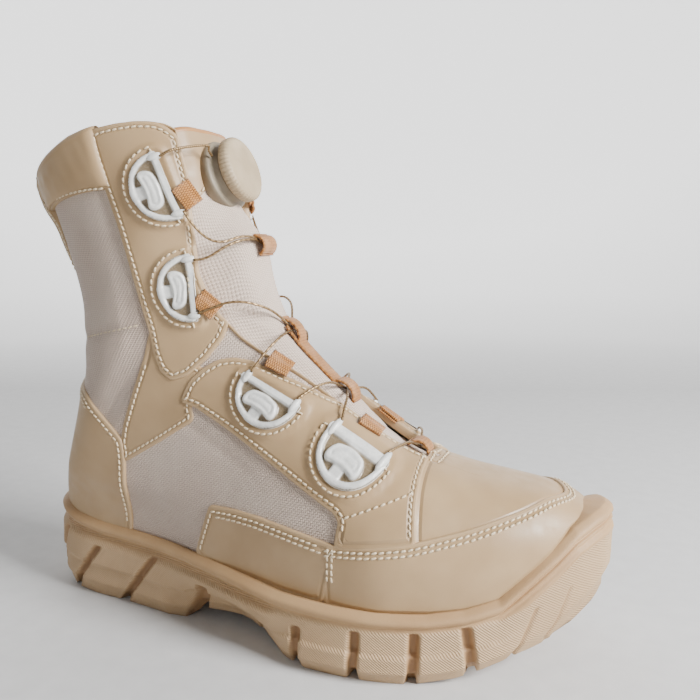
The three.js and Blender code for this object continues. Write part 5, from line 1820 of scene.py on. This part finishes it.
for inset, drop in ((15, 4.2), (10, 2.4), (7.2, 1.1), (5.4, 0.3)):
    place = sole_line + sole_in * inset
    add_ring(np.column_stack([place, sole_top - drop * (1 - 0.8 * ease(255, 285, sole_x))]), 0, 0, 0)
for from_top in side_rows:
    z = sole_top - from_top
    inset, strip_mask, lug_mask = sole_profile(from_top, tall, sole_x)
    groove = groove_mask(sole_x, z, sole_side) * lug_mask
    place = sole_line + sole_in * (inset + groove)[:, None]
    lip = ease(0.8, 1, from_top / tall) * np.minimum(groove, 2.5)
    face = lug_mask * (1 - np.clip(groove / 2, 0, 1))
    add_ring(np.column_stack([place, z + lip]), strip_mask, face, groove / DEEPEST)
edge_ring = rings[-1]
middle_y = (between(outer_line, sole_x) + between(inner_line, sole_x)) / 2
centre = np.column_stack([np.clip(sole_x, 7, 290), middle_y])
for f in np.linspace(0, 1, 22)[1:]:
    place = edge_ring[:, :2] * (1 - f) + centre * f
    x = place[:, 0]
    bars = ease(0.15, 0.55, np.sin(x * 2 * np.pi / TREAD_STEP + 0.9 + np.abs(place[:, 1]) * 0.05))
    channel = bump(f - 0.62, 0.1)
    cut = np.maximum(bars, channel * 0.8) * ease(0.0, 0.12, f) * ease(290, 270, x)
    rise = between(UNDERSIDE, x) + between(SOLE_ARCH, x)
    add_ring(np.column_stack([place, rise + cut * DEEPEST]), 0, 1 - cut, cut)
sole_faces = grid_faces(len(rings), SOLE_COUNT, close_cols=True)
sole = new_object("sole_moulded", np.concatenate(rings), sole_faces, rubber_skin,
                  values={key: np.concatenate(value) for key, value in masks.items()})
tidy(sole, 0.00003)
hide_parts("outsole")

# Insole, a soft board inside the shell
BOARD_ROWS = 21
BOARD_COLS = 60
BOARD_RISE = 3.2
BOARD_THICK = 2.6
BOARD_CUP = 0.9
insole_t = np.linspace(1.0, 14.7, BOARD_COLS)
left = surface(insole_t, np.zeros(BOARD_COLS))
right = surface(insole_t, np.ones(BOARD_COLS))
inset = (WALL + 1.9) / np.maximum(np.linalg.norm(right - left, axis=1), 9)
board = []
for share in np.linspace(0, 1, BOARD_ROWS):
    row = left + (right - left) * (inset + (1 - 2 * inset) * share)[:, None]
    board.append(row + (0, 0, BOARD_RISE + BOARD_CUP * abs(2 * share - 1) ** 4))
board = np.array(board)
under = board - (0, 0, BOARD_THICK)
count = BOARD_ROWS * BOARD_COLS
rim = around_grid(BOARD_ROWS, BOARD_COLS).tolist()
faces = grid_faces(BOARD_ROWS, BOARD_COLS) + grid_faces(BOARD_ROWS, BOARD_COLS, flip=True, start=count)
faces += [(a, b, b + count, a + count) for a, b in zip(rim, rim[1:] + rim[:1])]
flat = np.concatenate([board.reshape(-1, 3), under.reshape(-1, 3)])
insole = new_object("insole_board", flat, faces, lining_cloth, maps=flat[:, :2])
tidy(insole)
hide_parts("insole")


# Lace guides
GUIDE_FLOOR = 0.7
GUIDE_LOW = SKIN + 0.6


def guide_height(a, b, inside):
    """Height over the leather and the mask of the slots, which carry painted shade, inside distance from the
    rim.
    """
    rim = ease(0, 0.5, inside) * ease(3.0, 2.2, inside)
    bar = ease(3.0, 2.2, b)
    curve = 6.6 + 0.02 * a * a
    bean = ease(3.6, 2.6, np.hypot(np.maximum(np.abs(a) - 6.2, 0), (b - curve) * 0.95))
    groove = bump(np.hypot(np.maximum(np.abs(a) - 5.5, 0), b - curve) - 1.3, 0.35) * 0.5
    spoke = ease(3.4, 2.6, np.abs(a)) * ease(4, 6, b)
    solid = np.maximum.reduce([rim, bar, bean, spoke])
    height = np.maximum.reduce([2.0 * np.maximum(rim, bar), 2.7 * bean - groove, 1.3 * spoke])
    return GUIDE_FLOOR + height, 1 - solid


def guide_piece(frame_, side):
    loop = d_outline(110)
    grid_a, grid_b = np.meshgrid(np.arange(-17, 17, 0.62), np.arange(-0.5, 18, 0.54))
    grid_a[1::2] += 0.31
    inner = np.stack([grid_a.ravel(), grid_b.ravel()], 1)
    inner = inner[inside_of(inner, loop)]
    inner = inner[flat_distances(D_TREE, inner) > 0.35]
    flat, faces = filled(loop, inner)
    height, dark = guide_height(flat[:, 0], flat[:, 1], flat_distances(D_TREE, flat))
    parts = [lifted(*frame_.place(flat[:, 0], flat[:, 1], side), GUIDE_LOW + height)]
    for rise, grow in ((0.72, 0.0), (0.4, 0.25), (-0.9, 0.3)):
        ring = grown_d(110, grow)
        lift = np.full(len(ring), GUIDE_LOW + rise)
        parts.append(lifted(*frame_.place(ring[:, 0], ring[:, 1], side), lift))
    faces += grid_faces(3, len(loop), close_cols=True, start=len(flat))
    return np.concatenate(parts), faces, dark


def nub(frame_, a, side):
    """Rounded end of the channel that the lace leaves from."""
    b = np.linspace(4.2, -1.4, 9)
    t, u = frame_.place(np.full(9, float(a)), b, side)
    line = lifted(t, u, np.full(9, SKIN + 2.6))
    across, up = framed(line, hint=normal(t, u))
    size = np.array([0.5, 1.1, 1.5, 1.7, 1.8, 1.8, 1.75, 1.55, 1.1])
    return tube(line, across, up, size, size, 12)


for side in (-1, 1):
    for k, frame_ in enumerate(GUIDE_FRAMES):
        body, body_faces, dark = guide_piece(frame_, side)
        nubs = [nub(frame_, end * GUIDE_LONG, side) for end in (-0.42, 0.42)]
        points, faces = joined([(body, body_faces)] + nubs)
        dark = np.concatenate([dark, np.zeros(len(points) - len(dark))])
        name = f"guide_{side_names[side]}_{k + 1}"
        guide = new_object(f"{name}_clear", points, faces, guide_skin, values={"slot": dark})
        tidy(guide)
        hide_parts(name)
        ring = grown_d(120, 2.6)
        bow = ring[ring[:, 1] > 1.5]
        order = np.argsort(np.arctan2(bow[:, 1] - 4, bow[:, 0]))
        t, u = frame_.place(bow[order, 0], bow[order, 1], side)
        stitch_along(lifted(t, u, np.full(len(t), SKIN + 1.75)), normal(t, u))


# Webbing tabs beside the throat and loops on the tongue
def web_band(centre_line, across, up, wide, thick):
    """A flat band of webbing along a line, with its weave's places in millimetres."""
    offset = np.linspace(-0.5, 0.5, 9) * wide
    top = centre_line[:, None] + across[:, None] * offset[None, :, None] + up[:, None] * thick / 2
    low = top - up[:, None] * thick
    ring = np.concatenate([top, low[:, ::-1]], 1)
    place = np.stack(np.broadcast_arrays(run_along(centre_line)[:, None], offset[None]), -1)
    place = np.concatenate([place, place[:, ::-1]], 1)
    faces = grid_faces(*ring.shape[:2], close_cols=True) + caps(*ring.shape[:2])
    return ring.reshape(-1, 3), faces, place.reshape(-1, 2)


def web_object(name, bands, *nodes):
    points, faces = joined([(p, f) for p, f, _ in bands])
    obj = new_object(name, points, faces, web_skin, maps=np.concatenate([m for _, _, m in bands]))
    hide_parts(*nodes)
    return obj


TABS = [(103, 216), (118, 172), (144, 131), (188, 103)]
TAB_WIDE = 12.0
TAB_REACH = (6.2, -3.4)
for side in (-1, 1):
    for k, (x, z) in enumerate(TABS):
        t = on_side([(x, z)], side)[0][0]
        u_edge = float(edge_u(t, side))
        per_u = np.linalg.norm(surface(t, u_edge) - surface(t, u_edge - side * 0.02)) / 0.02
        reach = np.linspace(*TAB_REACH, 15)
        lift = SKIN + 1.0 + 1.5 * ease(-1.5, 2.0, reach) * (1 - 0.3 * ease(4, TAB_REACH[0], reach))
        row_t = np.full(15, t)
        u = u_edge + side * reach / per_u
        line = lifted(row_t, u, lift)
        n = normal(row_t, u)
        across = unit(np.cross(tangents(line, False), n))
        bands = [web_band(line, across, n, TAB_WIDE, 1.1)]
        tip = [-5, -3, -1]
        under = line[tip] - n[tip] * np.array([[1.6], [1.7], [1.5]])
        bands.append(web_band(under, across[tip], n[tip], TAB_WIDE - 0.6, 1.0))
        web_object(f"web_tab_{side_names[side]}_{k + 1}", bands, f"tab_{side_names[side]}_{k + 1}")

LOOPS = [(124.5, 9, 13), (141, 14, 8), (170, 13, 9.5), (207.5, 10, 9)]
LOOP_RISE = 3.8
# The second loop is the upper end of a flat strip that lies down the tongue's middle
RIDGE_LOOP = 1
RIDGE_X = (139.0, 166.0)
for k, (x, long, wide) in enumerate(LOOPS):
    t = tongue_at(x)
    start = lifted(np.array(t), np.array(0.5), -0.6)
    along = unit(lifted(np.array(t + 0.1), np.array(0.5), -0.6) - start)
    n = unit(np.cross(along, (0, 1, 0)))
    if n[0] * 0.5 + n[2] < 0:
        n = -n
    f = np.linspace(-1.25, 1.25, 33)
    rise = 0.8 + LOOP_RISE * np.maximum(1 - f * f, 0) ** 0.6
    line = start + along * (f * long / 2)[:, None] + n * rise[:, None]
    side_way = np.broadcast_to(np.array([0, 1.0, 0]), line.shape)
    up = unit(np.cross(tangents(line, False), side_way))
    up = np.where(np.sum(up * n, axis=1)[:, None] < 0, -up, up)
    bands = [web_band(line, side_way, up, wide, 1.2)]
    if k == RIDGE_LOOP:
        strip_t = np.linspace(tongue_at(RIDGE_X[0]), tongue_at(RIDGE_X[1]), 30)
        at, u, lift = tongue_place(strip_t, np.zeros(30))
        ridge = lifted(at, u, lift + 1.1)
        across = np.broadcast_to(np.array([0, 1.0, 0]), ridge.shape)
        bands.append(web_band(ridge, across, normal(at, u), 9.5, 1.1))
    web_object(f"web_loop_{k + 1}", bands, f"loop_{k + 1}")

# Lace from the dial through the guides and loops
LACE_RADIUS = 0.62
LACE_ROWS = 70
LACE_SIDES = 10
LACE_LIFT = 5.2
UNDER_LOOP = 0.9
EXIT = 0.4


def lace_exit(guide, end, side):
    """t and u where the wire leaves a guide, end -1 at its top and 1 at its foot."""
    t, u = GUIDE_FRAMES[guide].place([end * EXIT * GUIDE_LONG], [-0.9], side)
    return float(t[0]), float(u[0])


def lace_run(start, stop):
    """Places of the wire from a guide down to a loop."""
    f = np.linspace(0, 1, 8)
    t = start[0] + (stop[0] - start[0]) * f
    u = start[1] + (stop[1] - start[1]) * f
    down = ease(0.45, 1, f)
    return lifted(t, u, LACE_LIFT * (1 - down) + UNDER_LOOP * down)


def lace_tube(points):
    line = curve_through(points, LACE_ROWS)
    across, up = framed(line, hint=(0.2, 0.1, 1))
    points, faces = tube(line, across, up, LACE_RADIUS, LACE_RADIUS, LACE_SIDES)
    turns = np.broadcast_arrays(np.linspace(0, 60, LACE_ROWS)[:, None], np.arange(LACE_SIDES)[None] * 0.4)
    return points, faces, np.stack(turns, -1).reshape(-1, 2)


def lace_object(name, tubes):
    points, faces = joined([(p, f) for p, f, _ in tubes])
    obj = new_object(f"{name}_wire", points, faces, steel_skin, maps=np.concatenate([m for _, _, m in tubes]))
    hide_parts(name)


def through_loop(start, loop_x, stop):
    middle = (tongue_at(loop_x), 0.5)
    return lace_tube(np.concatenate([lace_run(start, middle), lace_run(stop, middle)[::-1][1:]]))


for k in range(3):
    x = LOOPS[k][0]
    one = through_loop(lace_exit(k, 1, -1), x, lace_exit(k + 1, -1, 1))
    two = through_loop(lace_exit(k, 1, 1), x, lace_exit(k + 1, -1, -1))
    lace_object(f"lace_crossing_{k + 1}", [one, two])
lace_object("lace_bar", [through_loop(lace_exit(3, 1, -1), LOOPS[3][0], lace_exit(3, 1, 1))])
# The wire's first places at the dial: across, out from the tongue and up
DIAL_WIRE = [(14.6, 4.3, 7.6), (17.2, 4.9, 9.6), (20, 5.5, 12)]
for side in (-1, 1):
    t, u = lace_exit(0, -1, side)
    edge = float(edge_u(t, side))
    start = [dial_place(side * across, out, up) for across, out, up in DIAL_WIRE]
    middle = lifted(np.array(t), np.array(edge * 0.65 + u * 0.35), LACE_LIFT + 1.4)
    end = lifted(np.array(t), np.array(u), LACE_LIFT)
    lace_object(f"lace_dial_{side_names[side]}", [lace_tube(start + [middle, end])])

# Stitched quilting seam of the shaft's cloth
for side in (-1, 1):
    seam_x = np.linspace(17, 76, 40)
    seam = np.stack([seam_x, quilt_height(seam_x)], 1)
    t, u = on_side(seam, side)
    stitch_along(lifted(t, u, np.full(len(t), -0.1)), normal(t, u), wide=0.42)

stitches = make_stitches("stitches", thread_skin)

# Light, floor and camera
# Floor that curves up into the backdrop, as radius and height in metres
BOWL = [(0.6, 0), (1.3, 0), (1.7, 0.06), (2.0, 0.22), (2.2, 0.5), (2.3, 0.9), (2.32, 2.6)]
BOWL_SIDES = 96
turn = np.linspace(0, 2 * np.pi, BOWL_SIDES, endpoint=False)
bowl_points = [(float(r * math.cos(c)), float(r * math.sin(c)), z) for r, z in BOWL for c in turn]
bowl_faces = grid_faces(len(BOWL), BOWL_SIDES, close_cols=True, flip=True) + [tuple(range(BOWL_SIDES))]
floor_mesh = bpy.data.meshes.new("floor")
floor_mesh.from_pydata(bowl_points, [], bowl_faces)
floor_mesh.polygons.foreach_set("use_smooth", [True] * len(floor_mesh.polygons))
floor = bpy.data.objects.new("floor", floor_mesh)
bpy.context.scene.collection.objects.link(floor)
paper = Nodes("floor_paper")
fibre = paper.noise(90, 3, 0.5, paper.object_place())
paper_tone = paper.mix(paper.ramp(fibre, 0.3, 0.7), linear(206, 206, 206), linear(212, 212, 212))
# The paper glows behind the boot alone, as a lit backdrop does
BEHIND = (-0.36, 0.93)
place_x, place_y = paper.add("SeparateXYZ", {0: paper.object_place()}).outputs[:2]
behind = paper.math("ADD", paper.product(place_x, BEHIND[0]), paper.product(place_y, BEHIND[1]))
paper.shader.inputs["Emission Color"].default_value = (1, 1, 1, 1)
paper.put(paper.shader.inputs["Emission Strength"], paper.ramp(behind, 0.6, 1.9, 0.0, 1.5))
floor_mesh.materials.append(paper.finish(color=paper_tone, roughness=0.9))
world = bpy.data.worlds.new("studio")
bpy.context.scene.world = world
world.use_nodes = True
world.node_tree.nodes["Background"].inputs["Color"].default_value = (1.0, 1.0, 1.0, 1.0)
world.node_tree.nodes["Background"].inputs["Strength"].default_value = 0.08


def area_light(name, place, aim, size, power):
    data = bpy.data.lights.new(name, "AREA")
    data.shape = "RECTANGLE"
    data.size = size[0]
    data.size_y = size[1]
    data.energy = power
    lamp = bpy.data.objects.new(name, data)
    bpy.context.scene.collection.objects.link(lamp)
    lamp.location = Vector(place)
    lamp.rotation_euler = (Vector(aim) - Vector(place)).to_track_quat("-Z", "Y").to_euler()


area_light("key_light", (1.08, -0.18, 0.66), (0.03, 0.0, 0.1), (0.5, 0.5), 39)
area_light("front_light", (0.1, -1.3, 0.8), (0.0, 0.0, 0.1), (0.8, 0.6), 0.4)
area_light("back_light", (-0.7, 0.7, 0.9), (0.0, 0.0, 0.1), (0.6, 0.6), 1.5)

CAMERA_TURN = math.radians(21)
CAMERA_DOWN = math.radians(8.06)
CAMERA_ROLL = math.radians(0.13)
CAMERA_PLACE = np.array([305.42, -346.65, 189.86])
camera_data = bpy.data.cameras.new("camera")
camera_data.lens = 39.1
camera_data.sensor_width = 36
camera_data.clip_start = 0.01
camera = bpy.data.objects.new("camera", camera_data)
bpy.context.scene.collection.objects.link(camera)
camera.location = Vector((CAMERA_PLACE + SHIFT) * MM)
back = Vector((
    math.sin(CAMERA_TURN) * math.cos(CAMERA_DOWN),
    -math.cos(CAMERA_TURN) * math.cos(CAMERA_DOWN),
    math.sin(CAMERA_DOWN),
))
camera.rotation_euler = back.to_track_quat("Z", "Y").to_euler()
camera.rotation_euler.rotate_axis("Z", CAMERA_ROLL)
bpy.context.scene.camera = camera
